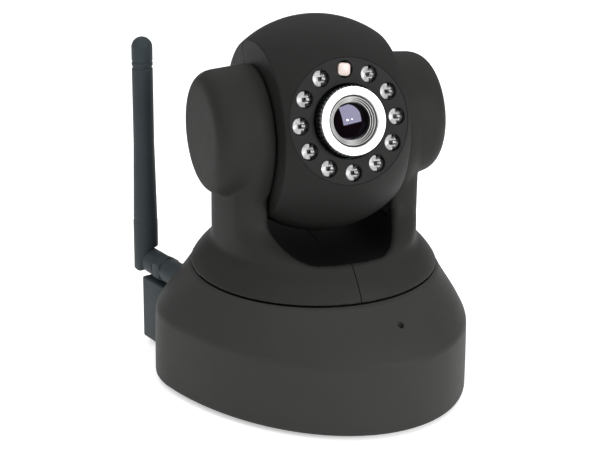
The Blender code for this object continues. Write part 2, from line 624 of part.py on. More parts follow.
def make_head_shell(label, tilt_axis):
    sign = -1 if label == "front" else 1
    shell = smooth(head_solid(f"head_{label}_shell", HEAD_RADIUS, HEAD_HALF_WIDTH, "charcoal",
                              tilt_axis, 32, 20))
    hollow = head_solid(f"head_{label}_hollow", HEAD_RADIUS - WALL, HEAD_HALF_WIDTH - WALL, None,
                        tilt_axis, 20, 12)
    apart = sorted((HEAD_SPLIT_Y + sign * GAP / 2, -sign * 60.0))
    keep = box(f"head_{label}_split", (-60, apart[0], -60), (60, apart[1], 60), None, tilt_axis)
    cut(shell, hollow, keep)
    for side, toward in ((-1, "-X"), (1, "+X")):
        hole = rod(f"head_{label}_side_{toward[1]}{side + 1}", TRUNNION_RADIUS + GAP, 10.0, 30.0,
                   None, parent=tilt_axis, axis=toward, steps=24)
        cut(shell, hole)
    if label == "front":
        cut(shell, rod("face_opening", FACE_RADIUS + GAP, 10.0, 50.0, None, parent=tilt_axis,
                       axis="-Y", steps=36))
    return shell


def led_angle(place_number):
    return 2 * math.pi * place_number / LED_PLACES


def on_led_circle(place_number):
    angle = led_angle(place_number)
    return (LED_CIRCLE_RADIUS * math.sin(angle), 0, LED_CIRCLE_RADIUS * math.cos(angle))


def make_face(tilt_axis):
    face_at = {"parent": tilt_axis, "axis": "-Y"}
    plate = turned("face_plate", (
        (FACE_RADIUS - 0.5, FACE_FRONT), (FACE_RADIUS, FACE_FRONT - 0.5),
        (FACE_RADIUS, FACE_FRONT - 2.0), (RING_RADIUS + 0.5, FACE_FRONT - 2.0),
        (RING_RADIUS + 0.5, FACE_FRONT)), "charcoal", steps=36, closed=True, **face_at)
    for number in range(LED_PLACES):
        hole = rod(f"led_hole_{number}", LED_RADIUS + GAP, 20.0, 40.0, None, parent=tilt_axis,
                   location=on_led_circle(number), axis="-Y", steps=8)
        cut(plate, hole)
    tube("led_board", FACE_RADIUS - 0.6, RING_RADIUS + 0.6, FACE_FRONT - 6.4, FACE_FRONT - 4.8,
         "board", steps=28, **face_at)

    base = FACE_FRONT - 4.5
    tip = FACE_FRONT + 1.0
    dome = [(LED_RADIUS * math.sin(a), tip - LED_RADIUS + LED_RADIUS * math.cos(a))
            for a in (math.pi / 2 * i / 3 for i in range(4))]
    profile = dome + [(LED_RADIUS, base + 1.0), (LED_RADIUS + 0.3, base + 1.0),
                      (LED_RADIUS + 0.3, base), (0, base)]
    for number in range(1, LED_PLACES):
        turned(f"ir_led_{number:02d}", profile, "led_lens", parent=tilt_axis,
               location=on_led_circle(number), axis="-Y", steps=8)
    turned("light_sensor", ((0, FACE_FRONT - 0.4), (LED_RADIUS - 0.3, FACE_FRONT - 0.4),
                            (LED_RADIUS, FACE_FRONT - 0.7), (LED_RADIUS, base), (0, base)),
           "sensor_window", parent=tilt_axis, location=on_led_circle(0), axis="-Y", steps=16)


def make_camera_module(tilt_axis):
    mount = box("lens_mount", (-8.5, -19.0, -8.5), (8.5, -8.0, 8.5), "black", tilt_axis, 0.5)
    cut(mount, rod("lens_mount_bore", 6.4, 0.0, 30.0, None, parent=tilt_axis, axis="-Y", steps=24))
    board = box("sensor_board", (-14.5, -7.4, -14.5), (14.5, -5.8, 14.5), "board", tilt_axis)
    join(board, box("image_sensor", (-3.6, -8.4, -3.0), (3.6, -7.2, 3.0), None, tilt_axis))

    trunnion = ((TRUNNION_RADIUS, 24.6), (TRUNNION_RADIUS, 18.1), (7.5, 18.1), (7.5, 16.4),
                (3.2, 16.4), (3.2, 24.6))
    turned("left_trunnion", trunnion, "black", parent=tilt_axis, axis="-X", steps=20, closed=True)
    gear = turned("tilt_gear", trunnion, "white", parent=tilt_axis, axis="+X", steps=20,
                  closed=True)
    to_pinion = math.pi - math.radians(TILT_REST_DEG)
    teeth = gear_outline(TILT_GEAR_TEETH, TILT_MODULE, to_pinion)
    wheel = prism("tilt_gear_teeth", teeth, 24.4, 27.4, None, tilt_axis, "+X")
    join(gear, wheel)
    cut(gear, rod("tilt_gear_bore", 3.2, 10.0, 30.0, None, parent=tilt_axis, axis="+X", steps=20))


def make_lens(tilt_axis):
    focus_axis = empty("focus_axis", tilt_axis, (0, -LENS_FRONT, 0))
    # Heights along the lens axis are counted from the front face of the focus ring, forwards.
    ring = prism("focus_ring", knurl_points(), -5.6, -0.9, "steel", focus_axis, "-Y")
    join(ring, turned("focus_ring_face", (
        (RING_RADIUS - 0.7, 0.0), (RING_RADIUS - 0.2, -0.4), (RING_RADIUS - 0.2, -1.2),
        (RING_BORE_RADIUS, -1.2), (RING_BORE_RADIUS, 0.0)), None, parent=focus_axis, axis="-Y",
        steps=24, closed=True))
    cut(ring, rod("focus_ring_bore", RING_BORE_RADIUS, -10.0, 5.0, None, parent=focus_axis,
                  axis="-Y", steps=24))

    barrel_axis = empty("barrel_axis", tilt_axis, (0, -LENS_FRONT, 0))
    outer = RING_BORE_RADIUS - GAP
    barrel = ((outer, -0.8), (outer, -6.4), (6.1, -6.8), (6.1, -23.0), (4.0, -23.0),
              (4.0, -6.0), (GLASS_RADIUS + GAP, -6.0), (GLASS_RADIUS + GAP, -2.6),
              (6.4, -2.4), (6.4, -0.8))
    turned("lens_barrel", barrel, "black", parent=barrel_axis, axis="-Y", steps=20, closed=True)
    dome = [(GLASS_RADIUS * i / 5, -2.9 - 1.3 * (i / 5) ** 2) for i in range(6)]
    turned("front_lens", dome + [(GLASS_RADIUS, -5.7), (0, -5.7)], "lens_glass",
           parent=barrel_axis, axis="-Y", steps=20)


def knurl_points(ridges=24, depth=0.35):
    """Grip of the focus ring: fine straight ridges round its side."""
    points = []
    for ridge in range(ridges):
        for offset, radius in ((0.0, RING_RADIUS), (0.5, RING_RADIUS - depth)):
            angle = 2 * math.pi * (ridge + offset) / ridges
            points.append((radius * math.cos(angle), radius * math.sin(angle)))
    return points


def make_head(pan_axis):
    tilt_axis = empty("tilt_axis", pan_axis, (0, 0, TILT_Z), (math.radians(TILT_REST_DEG), 0, 0))
    make_head_shell("front", tilt_axis)
    make_head_shell("rear", tilt_axis)
    make_face(tilt_axis)
    make_camera_module(tilt_axis)
    make_lens(tilt_axis)


# ---- antenna ----------------------------------------------------------------------------
def make_antenna():
    line = {"location": (ANTENNA_X, 0, ANTENNA_Z), "axis": "+Y"}
    connector = turned("antenna_connector", (
        (0, 45.2), (2.8, 45.2), (2.8, 42.2), (3.4, 42.2), (3.4, 38.3), (ANTENNA_RADIUS, 38.3),
        (ANTENNA_RADIUS, 27.0), (3.0, 27.0), (3.0, 21.0), (0, 21.0)), "slate", steps=16, **line)
    nut = prism("antenna_nut", circle_points(4.75, 6, start=math.pi / 6), 38.0, 42.2, None,
                None, "+Y", (ANTENNA_X, 0, ANTENNA_Z))
    join(connector, nut)

    swivel = empty("antenna_swivel", location=(ANTENNA_X, KNUCKLE_START_Y, ANTENNA_Z))
    reach = ANTENNA_HINGE_Y - KNUCKLE_START_Y
    along = {"parent": swivel, "axis": "+Y"}
    knuckle = turned("antenna_knuckle", (
        (0, reach), (ANTENNA_RADIUS, reach), (ANTENNA_RADIUS, 0.5), (ANTENNA_RADIUS - 0.4, 0.0),
        (3.1, 0.0), (3.1, 2.9), (0, 2.9)), "slate", steps=16, **along)
    hinge = {"parent": swivel, "location": (0, reach, 0), "axis": "+X", "steps": 16}
    cut(knuckle, box("knuckle_half_lap", (-10, 5.4, -10), (0.15, 20, 10), None, swivel))
    join(knuckle, rod("knuckle_eye", ANTENNA_RADIUS, 0.15, ANTENNA_RADIUS - 0.3, None, **hinge))
    join(knuckle, rod("knuckle_pin", 1.5, 0.1 - ANTENNA_RADIUS, 0.5, None, **hinge))

    fold = empty("antenna_fold", swivel, (0, reach, 0))
    height = ANTENNA_TIP_Z - ANTENNA_Z
    mast = turned("antenna_mast", (
        (0, height), (1.8, height - 0.2), (ANTENNA_TIP_RADIUS - 0.5, height - 1.0),
        (ANTENNA_TIP_RADIUS, height - 2.4), (ANTENNA_TIP_RADIUS, height - 9.6),
        (ANTENNA_TIP_RADIUS - 0.25, height - 9.8), (ANTENNA_TIP_RADIUS - 0.25, height - 10.2),
        (ANTENNA_TIP_RADIUS, height - 10.4), (ANTENNA_TIP_RADIUS, 41.0), (ANTENNA_RADIUS, 15.6),
        (ANTENNA_RADIUS, 0), (0, 0)), "slate", steps=16, parent=fold)
    cut(mast, box("mast_half_lap", (-0.15, -10, -10), (10, 10, 4.6), None, fold))
    join(mast, rod("mast_eye", ANTENNA_RADIUS, 0.15, ANTENNA_RADIUS - 0.3, None, parent=fold,
                   axis="-X", steps=16))
    cut(mast, rod("mast_pin_hole", 1.8, -1.0, 10.0, None, parent=fold, axis="-X", steps=12))


make_base_shell()
make_base_plate()
make_feet_and_screws()
make_tripod_insert()
make_rear_housing()
make_main_board()
make_sockets()
make_small_base_parts()
make_pan_drive()
make_head(make_turret())
make_antenna()
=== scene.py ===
import json
import math

import bmesh
import bpy
import numpy as np
from mathutils import Matrix, Vector


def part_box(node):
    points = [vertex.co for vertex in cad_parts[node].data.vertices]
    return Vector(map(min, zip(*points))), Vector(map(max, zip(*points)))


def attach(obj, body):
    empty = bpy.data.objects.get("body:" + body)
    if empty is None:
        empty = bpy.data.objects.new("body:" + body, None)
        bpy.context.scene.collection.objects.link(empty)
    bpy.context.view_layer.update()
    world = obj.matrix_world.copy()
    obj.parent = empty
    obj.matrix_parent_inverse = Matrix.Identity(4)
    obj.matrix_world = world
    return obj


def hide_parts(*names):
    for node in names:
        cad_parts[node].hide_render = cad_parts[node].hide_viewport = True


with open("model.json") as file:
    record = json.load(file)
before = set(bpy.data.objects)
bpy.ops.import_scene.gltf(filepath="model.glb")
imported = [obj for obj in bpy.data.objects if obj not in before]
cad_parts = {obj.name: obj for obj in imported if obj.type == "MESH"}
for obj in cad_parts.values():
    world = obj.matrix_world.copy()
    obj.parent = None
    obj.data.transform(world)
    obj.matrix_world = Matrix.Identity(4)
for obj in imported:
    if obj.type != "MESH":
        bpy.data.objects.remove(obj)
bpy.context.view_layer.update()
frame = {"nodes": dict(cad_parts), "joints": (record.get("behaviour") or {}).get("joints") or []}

# Lengths below are in millimetres; MM takes them to the frame's metres when a piece is placed.
MM = 0.001
JOINTS = {joint["name"]: joint for joint in frame["joints"]}


def point(name):
    return Vector(JOINTS[name]["pos_m"]) / MM


def axis(name):
    return Vector(JOINTS[name]["axis"]).normalized()


def corners(node):
    low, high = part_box(node)
    return low / MM, high / MM


def over(node):
    """The matrix that puts a shape on a node's upright centre line."""
    low, high = corners(node)
    return Matrix.Translation(((low.x + high.x) / 2, (low.y + high.y) / 2, 0))


def frame_at(origin, x_axis, z_axis):
    """The matrix of a frame with its Z along z_axis and its X as near x_axis as it goes."""
    z = z_axis.normalized()
    y = z.cross(x_axis).normalized()
    return Matrix.Translation(origin) @ Matrix((y.cross(z), y, z)).transposed().to_4x4()


TILT_AXIS = axis("tilt")
LENS_AXIS = axis("focus_turn")
TILT_CENTRE = point("tilt")
WORLD = Matrix.Identity(4)
TURRET = frame_at(Vector((0, 0, 0)), TILT_AXIS, Vector((0, 0, 1)))
RIGHT_POD = frame_at(TILT_CENTRE, Vector((0, 0, 1)), TILT_AXIS)
LENS = frame_at(TILT_CENTRE, TILT_AXIS, LENS_AXIS)          # heights run forwards along the lens
LENS_FRONT = (point("focus_turn") - TILT_CENTRE).dot(LENS_AXIS)
ANTENNA = frame_at(Vector((point("antenna_swivel").x, 0, point("antenna_swivel").z)),
                   Vector((1, 0, 0)), Vector((0, 1, 0)))    # heights run backwards along +Y
HINGE = frame_at(point("antenna_fold"), Vector((0, 1, 0)), Vector((1, 0, 0)))
MAST = Matrix.Translation(point("antenna_fold"))


# ---- shapes, as meshes in millimetres ----
def mesh_of(verts, faces):
    mesh = bpy.data.meshes.new("shape")
    mesh.from_pydata([tuple(map(float, v)) for v in verts], [], [tuple(map(int, f)) for f in faces])
    return mesh


def from_bmesh(bm):
    bmesh.ops.recalc_face_normals(bm, faces=bm.faces[:])
    mesh = bpy.data.meshes.new("shape")
    bm.to_mesh(mesh)
    bm.free()
    return mesh


def solid(verts, faces):
    """A mesh with its faces turned outwards."""
    bm = bmesh.new()
    bm.from_mesh(mesh_of(verts, faces))
    return from_bmesh(bm)


def rounded(points, closed=False, steps=5):
    """A line of (a, b) or (a, b, radius) points with an arc in each corner that has a radius."""
    line = []
    count = len(points)
    for i, item in enumerate(points):
        here = Vector(item[:2])
        radius = item[2] if len(item) > 2 else 0.0
        if radius <= 0 or (not closed and i in (0, count - 1)):
            line.append(tuple(here))
            continue
        back = (Vector(points[i - 1][:2]) - here)
        ahead = (Vector(points[(i + 1) % count][:2]) - here)
        opening = back.angle(ahead)
        reach = min(radius / math.tan(opening / 2), 0.49 * back.length, 0.49 * ahead.length)
        radius = reach * math.tan(opening / 2)
        start = here + back.normalized() * reach
        end = here + ahead.normalized() * reach
        middle = here + (back.normalized() + ahead.normalized()).normalized() * (
            radius / math.sin(opening / 2))
        first, last = start - middle, end - middle
        turn = first.angle_signed(last)
        for k in range(steps + 1):
            spun = Matrix.Rotation(-turn * k / steps, 2) @ first
            line.append(tuple(middle + spun))
    return line


def lathe(profile, steps=96, closed=False, relief=None):
    """Turn (radius, height) points about Z. relief(angles, radius, height) may move the skin."""
    angles = 2 * math.pi * np.arange(steps) / steps
    verts, rows = [], []
    for radius, height in profile:
        if radius < 1e-6:
            rows.append([len(verts)] * steps)
            verts.append((0.0, 0.0, height))
            continue
        reach = np.full(steps, radius) if relief is None else relief(angles, radius, height)
        rows.append(list(range(len(verts), len(verts) + steps)))
        verts.extend(zip(reach * np.cos(angles), reach * np.sin(angles), np.full(steps, height)))
    if closed:
        rows.append(rows[0])
    faces = []
    for upper, lower in zip(rows, rows[1:]):
        for i in range(steps):
            k = (i + 1) % steps
            face = []
            for corner in (upper[i], upper[k], lower[k], lower[i]):
                if corner not in face:
                    face.append(corner)
            if len(face) > 2:
                faces.append(face)
    return solid(verts, faces)


def block(low, high, radius=0.0, segments=3):
    size = Vector(high) - Vector(low)
    centre = (Vector(high) + Vector(low)) / 2
    bm = bmesh.new()
    bmesh.ops.create_cube(bm, size=1.0,
                          matrix=Matrix.Translation(centre) @ Matrix.Diagonal((*size, 1.0)))
    if radius > 0:
        bmesh.ops.bevel(bm, geom=bm.edges[:], offset=radius, segments=segments, profile=0.5,
                        affect="EDGES")
    return from_bmesh(bm)


def prism(outline, low, high, radius=0.0, segments=2):
    bm = bmesh.new()
    foot = bm.faces.new([bm.verts.new((x, y, low)) for x, y in outline])
    grown = bmesh.ops.extrude_face_region(bm, geom=[foot])
    raised = [item for item in grown["geom"] if isinstance(item, bmesh.types.BMVert)]
    bmesh.ops.translate(bm, verts=raised, vec=(0, 0, high - low))
    if radius > 0:
        rims = [e for e in bm.edges if abs(e.verts[0].co.z - e.verts[1].co.z) < 1e-6]
        bmesh.ops.bevel(bm, geom=rims, offset=radius, segments=segments, profile=0.5,
                        affect="EDGES")
    return from_bmesh(bm)


def moved(mesh, matrix):
    copy = mesh.copy()
    copy.transform(matrix)
    if matrix.determinant() < 0:
        copy.flip_normals()
    return copy


def together(*meshes):
    bm = bmesh.new()
    for mesh in meshes:
        bm.from_mesh(mesh)
    made = bpy.data.meshes.new("shape")
    bm.to_mesh(made)
    bm.free()
    return made


def changed(mesh, tools, operation="DIFFERENCE"):
    """The mesh after a Boolean with each tool."""
    holder = bpy.data.objects.new("holder", mesh)
    bpy.context.scene.collection.objects.link(holder)
    helpers = []
    for tool in tools:
        helper = bpy.data.objects.new("tool", tool)
        bpy.context.scene.collection.objects.link(helper)
        step = holder.modifiers.new("step", "BOOLEAN")
        step.operation = operation
        step.solver = "EXACT"
        step.object = helper
        helpers.append(helper)
    bpy.context.view_layer.update()
    made = bpy.data.meshes.new_from_object(
        holder.evaluated_get(bpy.context.evaluated_depsgraph_get()))
    for item in [holder, *helpers]:
        bpy.data.objects.remove(item)
    return made


def piece(name, mesh, place, body, finish, nodes=(), bevel=0.0, sharp=32):
    """Place a shape in the frame, give it its finish and let it ride on its body."""
    mesh.name = name
    mesh.transform(Matrix.Scale(MM, 4) @ place)
    mesh.materials.clear()
    made = bpy.data.objects.new(name, mesh)
    bpy.context.scene.collection.objects.link(made)
    if bevel:
        edge = made.modifiers.new("edge", "BEVEL")
        edge.width = bevel * MM
        edge.segments = 2
        edge.limit_method = "ANGLE"
        edge.angle_limit = math.radians(sharp)
        bpy.context.view_layer.update()
        made.data = bpy.data.meshes.new_from_object(
            made.evaluated_get(bpy.context.evaluated_depsgraph_get()))
        made.modifiers.clear()
    made.data.shade_smooth()
    made.data.set_sharp_from_angle(angle=math.radians(sharp))
    made.data.materials.append(finish.material)
    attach(made, body)
    if nodes:
        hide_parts(*nodes)
    return made


def disc(radius, count, centre=(0, 0), start=0.0):
    return [(centre[0] + radius * math.cos(start + 2 * math.pi * i / count),
             centre[1] + radius * math.sin(start + 2 * math.pi * i / count))
            for i in range(count)]


# ---- materials ----
class Finish:
    """A Principled material whose nodes are wired one step at a time."""

    def __init__(self, name, slot=None, **values):
        self.material = bpy.data.materials.new(name)
        self.material.use_nodes = True
        self.tree = self.material.node_tree
        self.shader = self.tree.nodes["Principled BSDF"]
        self.slot = slot
        self.where = self.tree.nodes.new("ShaderNodeTexCoord").outputs["Object"]
        self.bumps = None
        for key, value in values.items():
            socket = self.shader.inputs[key.replace("_", " ")]
            socket.default_value = (*value, 1.0) if isinstance(value, tuple) else value

    def noise(self, size, detail=2.0, stretch=(1, 1, 1)):
        """Noise whose features are about size millimetres wide."""
        scaled = self.tree.nodes.new("ShaderNodeMapping")
        scaled.inputs["Scale"].default_value = Vector(stretch) / (size * MM)
        self.tree.links.new(self.where, scaled.inputs["Vector"])
        made = self.tree.nodes.new("ShaderNodeTexNoise")
        made.inputs["Scale"].default_value = 1.0
        made.inputs["Detail"].default_value = detail
        self.tree.links.new(scaled.outputs["Vector"], made.inputs["Vector"])
        return made.outputs["Fac"]

    def ramp(self, value, low, high, start=0.3, end=0.7):
        """Spread a value between two numbers or two colours."""
        if isinstance(low, tuple):
            made = self.tree.nodes.new("ShaderNodeValToRGB")
            made.color_ramp.elements[0].position = start
            made.color_ramp.elements[1].position = end
            made.color_ramp.elements[0].color = (*low, 1.0)
            made.color_ramp.elements[1].color = (*high, 1.0)
            self.tree.links.new(value, made.inputs["Fac"])
            return made.outputs["Color"]
        made = self.tree.nodes.new("ShaderNodeMapRange")
        for socket, number in (("From Min", start), ("From Max", end), ("To Min", low),
                               ("To Max", high)):
            made.inputs[socket].default_value = number
        self.tree.links.new(value, made.inputs["Value"])
        return made.outputs["Result"]

    def drive(self, socket, value):
        self.tree.links.new(value, self.shader.inputs[socket])
        return self

    def bump(self, value, strength, depth):
        """Raise the surface by value, depth millimetres at most."""
        made = self.tree.nodes.new("ShaderNodeBump")
        made.inputs["Strength"].default_value = strength
        made.inputs["Distance"].default_value = depth * MM
        self.tree.links.new(value, made.inputs["Height"])
        if self.bumps is not None:
            self.tree.links.new(self.bumps, made.inputs["Normal"])
        self.bumps = made.outputs["Normal"]
        self.tree.links.new(self.bumps, self.shader.inputs["Normal"])
        return self


def moulded(name, slot, dark, light, roughness, grain=0.3, strength=0.3, depth=0.02, **values):
    """Moulded plastic: spark-eroded grain, faint mottling and uneven gloss."""
    made = Finish(name, slot, **values)
    mottle = made.noise(9.0, 3.0)
    made.drive("Base Color", made.ramp(mottle, dark, light))
    gloss = made.noise(2.4, 4.0)
    made.drive("Roughness", made.ramp(gloss, roughness - 0.02, roughness + 0.03))
    made.bump(made.noise(grain, 3.0), strength, depth)
    return made


def metal(name, slot, dark, light, roughness, lines=(1, 1, 1), size=0.12, depth=0.004):
    """Machined or rolled metal with fine lines."""
    made = Finish(name, slot, Metallic=1.0)
    made.drive("Base Color", made.ramp(made.noise(3.0, 3.0), dark, light))
    fine = made.noise(size, 2.0, lines)
    made.drive("Roughness", made.ramp(fine, roughness - 0.06, roughness + 0.08))
    made.bump(fine, 0.4, depth)
    return made


def circuit_board():
    made = Finish("circuit_board_finish", "circuit_board", Coat_Weight=0.4, Coat_Roughness=0.2)
    squares = made.tree.nodes.new("ShaderNodeTexBrick")
    squares.inputs["Scale"].default_value = 320.0
    squares.inputs["Mortar Size"].default_value = 0.035
    squares.inputs["Color1"].default_value = (0.010, 0.085, 0.030, 1)
    squares.inputs["Color2"].default_value = (0.014, 0.105, 0.038, 1)
    squares.inputs["Mortar"].default_value = (0.020, 0.170, 0.060, 1)
    made.tree.links.new(made.where, squares.inputs["Vector"])
    made.drive("Base Color", squares.outputs["Color"])
    made.drive("Roughness", made.ramp(made.noise(1.0), 0.30, 0.45))
    made.bump(squares.outputs["Fac"], 0.3, 0.03)
    return made


CHARCOAL = moulded("charcoal_plastic_finish", "charcoal_plastic", (0.0248, 0.0254, 0.0236),
                   (0.0264, 0.0270, 0.0251), 0.58, Specular_IOR_Level=0.20)
# Painted shade: the turret takes a darker copy of the same charcoal plastic, standing in for the
# dimmer light on its pods and arms.
TURRET_SHADED_CHARCOAL = moulded("charcoal_turret_painted_shade_finish", "charcoal_plastic", (0.0188, 0.0191, 0.0178),
                          (0.0201, 0.0204, 0.0190), 0.58, Specular_IOR_Level=0.12)
# Painted shade: a near-black copy of the charcoal for the trough under the head, where the head's
# shadow falls.
SADDLE_PAINTED_SHADE = moulded("charcoal_saddle_painted_shade_finish", "charcoal_plastic", (0.0030, 0.0030, 0.0030),
                        (0.0036, 0.0036, 0.0036), 0.75, Specular_IOR_Level=0.10)
# Painted shade: the head shells and face disc take a darker copy of the same charcoal plastic,
# standing in for the shade on the head.
HEAD_SHADED_CHARCOAL = moulded("charcoal_head_painted_shade_finish", "charcoal_plastic", (0.0112, 0.0114, 0.0107),
                        (0.0121, 0.0123, 0.0116), 0.55, Specular_IOR_Level=0.14)
SLATE = moulded("slate_plastic_finish", "slate_plastic", (0.0300, 0.0390, 0.0435),
                (0.0325, 0.0418, 0.0464), 0.52, Specular_IOR_Level=0.14)
BLACK = moulded("black_plastic_finish", "black_plastic", (0.0050, 0.0050, 0.0055),
                (0.0075, 0.0075, 0.0080), 0.42)
WHITE = moulded("white_plastic_finish", "white_plastic", (0.70, 0.69, 0.66), (0.78, 0.77, 0.74),
                0.40, grain=0.5, strength=0.2)
RUBBER = moulded("foot_rubber_finish", "foot_rubber", (0.010, 0.010, 0.010),
                 (0.017, 0.017, 0.016), 0.82, grain=0.22, strength=0.6, depth=0.05)
STEEL = metal("steel_finish", "steel", (0.50, 0.50, 0.49), (0.62, 0.62, 0.60), 0.28)
SILVER = metal("silver_ring_finish", "silver_ring", (0.80, 0.80, 0.79), (0.88, 0.88, 0.87), 0.36)
BRASS = metal("brass_finish", "brass", (0.62, 0.44, 0.17), (0.75, 0.55, 0.24), 0.27)
BOARD = circuit_board()
GREEN = moulded("green_connector_finish", "green_connector", (0.020, 0.170, 0.065),
                (0.028, 0.210, 0.080), 0.42)
GLASS = Finish("lens_glass_finish", "lens_glass", Base_Color=(0.0035, 0.0015, 0.0025),
               Roughness=0.03, IOR=1.5, Specular_IOR_Level=0.45, Specular_Tint=(0.72, 0.70, 1.0))
GLASS.bump(GLASS.noise(6.0), 0.02, 0.01)
TUBE = metal("lens_tube_finish", "black_plastic", (0.095, 0.095, 0.093), (0.13, 0.13, 0.127), 0.32)
GRIP = metal("focus_grip_finish", "silver_ring", (0.15, 0.15, 0.15), (0.20, 0.20, 0.20), 0.32)
CUP = moulded("led_cup_finish", "silver_ring", (0.85, 0.85, 0.85), (0.98, 0.98, 0.98), 0.20,
              grain=0.5, strength=0.5, depth=0.05)
CLEAR = Finish("led_lens_finish", "led_lens", Base_Color=(0.97, 0.97, 0.98), Roughness=0.03,
               IOR=1.5, Transmission_Weight=1.0)
CLEAR.bump(CLEAR.noise(1.2, 2.0), 0.08, 0.05)
CERAMIC = moulded("sensor_window_finish", "sensor_window", (0.50, 0.40, 0.36),
                  (0.58, 0.49, 0.45), 0.30, grain=0.5, strength=0.15)


# ---- base ----
BASE_CENTRE_Y = 11.5
REAR_REACH = 34.5
DECK_RADIUS = 40.0
DECK_Z = corners("base_shell")[1].z
BASE_BOTTOM = corners("base_shell")[0].z
DECK_HOLE = 13.8
WALL = 1.8
GAP = 0.3
OUTLINE_STEPS = 240
# How the wall leans in: share of the way from the oval foot to the round deck, and height.
BASE_SIDE = ((0.00, 3.0), (0.005, 9.0), (0.015, 16.0), (0.03, 22.6), (0.045, 24.0), (0.08, 25.0),
             (0.17, 26.6), (0.30, 28.7), (0.48, 31.2), (0.73, 34.5), (0.975, 38.1))


def base_outline(share=0.0, inset=0.0):
    """The base seen from above, as (x, y): the oval foot at share 0, the round deck at share 1."""
    low, high = corners("base_shell")
    half_width = high.x - inset
    points = []
    for i in range(OUTLINE_STEPS):
        angle = 2 * math.pi * i / OUTLINE_STEPS
        reach = (REAR_REACH if math.sin(angle) > 0 else BASE_CENTRE_Y - low.y) - inset
        oval = Vector((half_width * math.cos(angle), BASE_CENTRE_Y + reach * math.sin(angle)))
        deck = Vector((math.cos(angle), math.sin(angle))) * (DECK_RADIUS - inset)
        points.append(tuple(oval.lerp(deck, share)))
    return points


def smooth_line(points, pieces=8):
    """A Catmull-Rom line through (a, b) points."""
    p = [Vector(point) for point in points]
    p = [p[0] * 2 - p[1], *p, p[-1] * 2 - p[-2]]
    line = []
    for a, b, c, d in zip(p, p[1:], p[2:], p[3:]):
        for k in range(pieces):
            t = k / pieces
            line.append(0.5 * ((2 * b) + (c - a) * t + (2 * a - 5 * b + 4 * c - d) * t * t
                               + (3 * b - a - 3 * c + d) * t ** 3))
    return line + [p[-2]]


def lofted(rings, closed):
    """A skin through rings that have the same number of points."""
    verts = [vertex for ring in rings for vertex in ring]
    count = len(rings[0])
    faces = []
    for row in range(len(rings) - (0 if closed else 1)):
        lower, upper = row * count, ((row + 1) % len(rings)) * count
        for i in range(count):
            k = (i + 1) % count
            faces.append((lower + i, lower + k, upper + k, upper + i))
    return solid(verts, faces)


def microphone_frame():
    """The place where the microphone's hole comes out of the sloping wall."""
    low, high = corners("microphone")
    tilt = math.radians(36.0)
    outwards = Vector((0, -math.sin(tilt), math.cos(tilt)))
    return Matrix.Translation((low + high) / 2 + outwards * 3.25)


def base_shell():
    side = smooth_line(BASE_SIDE)
    rings = []

    def ring(share, z, inset=0.0):
        rings.append([(x, y, z) for x, y in base_outline(share, inset)])

    foot_round = 0.8
    for k in range(5):
        turn = math.radians(22.5 * k)
        ring(0.0, BASE_BOTTOM - 0.4 + foot_round * (1 - math.sin(turn)),
             foot_round * (1 - math.cos(turn)))
    rings.reverse()
    for share, z in side:
        ring(share, z)
    # A lip stands up round the turret, and the deck inside it lies lower.
    sunk = DECK_Z - 1.0
    edge = rounded(((DECK_RADIUS - 0.1, 37.9), (DECK_RADIUS - 0.1, DECK_Z, 0.3),
                    (DECK_RADIUS - 0.55, DECK_Z, 0.12), (DECK_RADIUS - 0.75, sunk, 0.2),
                    (DECK_HOLE + 1.0, sunk)))[1:]
    for radius, z in edge:
        rings.append([(x, y, z) for x, y in disc(radius, OUTLINE_STEPS)])
    for z in (sunk, sunk - 1.4):
        rings.append([(x, y, z) for x, y in disc(DECK_HOLE, OUTLINE_STEPS)])
    for share, z in reversed(side[::3]):
        ring(share, z - 1.5 * share ** 0.5, WALL)
    ring(0.0, BASE_BOTTOM, WALL)
    shell = lofted(rings, closed=True)

    low, high = corners("rear_housing")
    window = block((low.x - GAP, 22, -5), (high.x + GAP, 60, high.z + GAP))
    seat = moved(lathe(((0, 20), (4.4, 20), (4.4, 37.6), (5.4, 37.6), (5.4, 60), (0, 60)), 64),
                 ANTENNA)
    hole = moved(lathe(((0, -6), (1.05, -6), (1.05, 5), (0, 5)), 32), microphone_frame())
    piece("base_moulding", changed(shell, [window, seat, hole]), WORLD, "base", CHARCOAL,
          ["base_shell"])
    posts = []
    for screw in range(1, 5):
        tube = lathe(rounded(((1.6, 4.7), (2.8, 4.7, 0.2), (2.8, DECK_Z - 1.5),
                              (1.6, DECK_Z - 1.5)), closed=True), 32, closed=True)
        posts.append(moved(tube, over(f"base_screw_{screw}")))
    piece("screw_posts", together(*posts), WORLD, "base", CHARCOAL)


def base_plate():
    low, high = corners("base_plate")
    rim = [(x, y) for x, y in base_outline(0.0, WALL + 0.4) if y < high.y]
    rim.sort(key=lambda place: math.atan2(place[0], -(place[1] - BASE_CENTRE_Y)))
    top = low.z + 2.4
    plate = prism(rim, low.z, top, 0.35)
    plate = changed(plate, [lathe(rounded(((0, 9.3), (7.0, 9.3, 0.5), (7.0, top - 0.5),
                                           (0, top - 0.5))), 64)], "UNION")
    tools = [lathe(((0, 0), (4.8, 0), (4.8, 8.6), (0, 8.6)), 64)]
    for screw in range(1, 5):
        sink = lathe(((0, 0), (3.3, 0), (2.9, 2.4), (2.9, 3.4), (1.6, 3.4), (1.6, 6), (0, 6)), 40)
        tools.append(moved(sink, over(f"base_screw_{screw}")))
    reset = lathe(((0, 0), (2.5, 0), (2.5, 1.6), (2.0, 2.4), (2.0, 6), (0, 6)), 40)
    tools.append(moved(reset, over("reset_button")))
    slot_pitch, slot_width = 3.0, 1.2
    for row in range(5):
        y = -7.5 + slot_pitch * row
        tools.append(block((-33, y, 0), (-21, y + slot_width, 6), 0.5, 3))
    label_recess = block((8, -34, 1), (26, -24, low.z + 0.25), 0.2, 2)
    tools.append(label_recess)
    piece("underside_plate", changed(plate, tools), WORLD, "base", CHARCOAL, ["base_plate"])


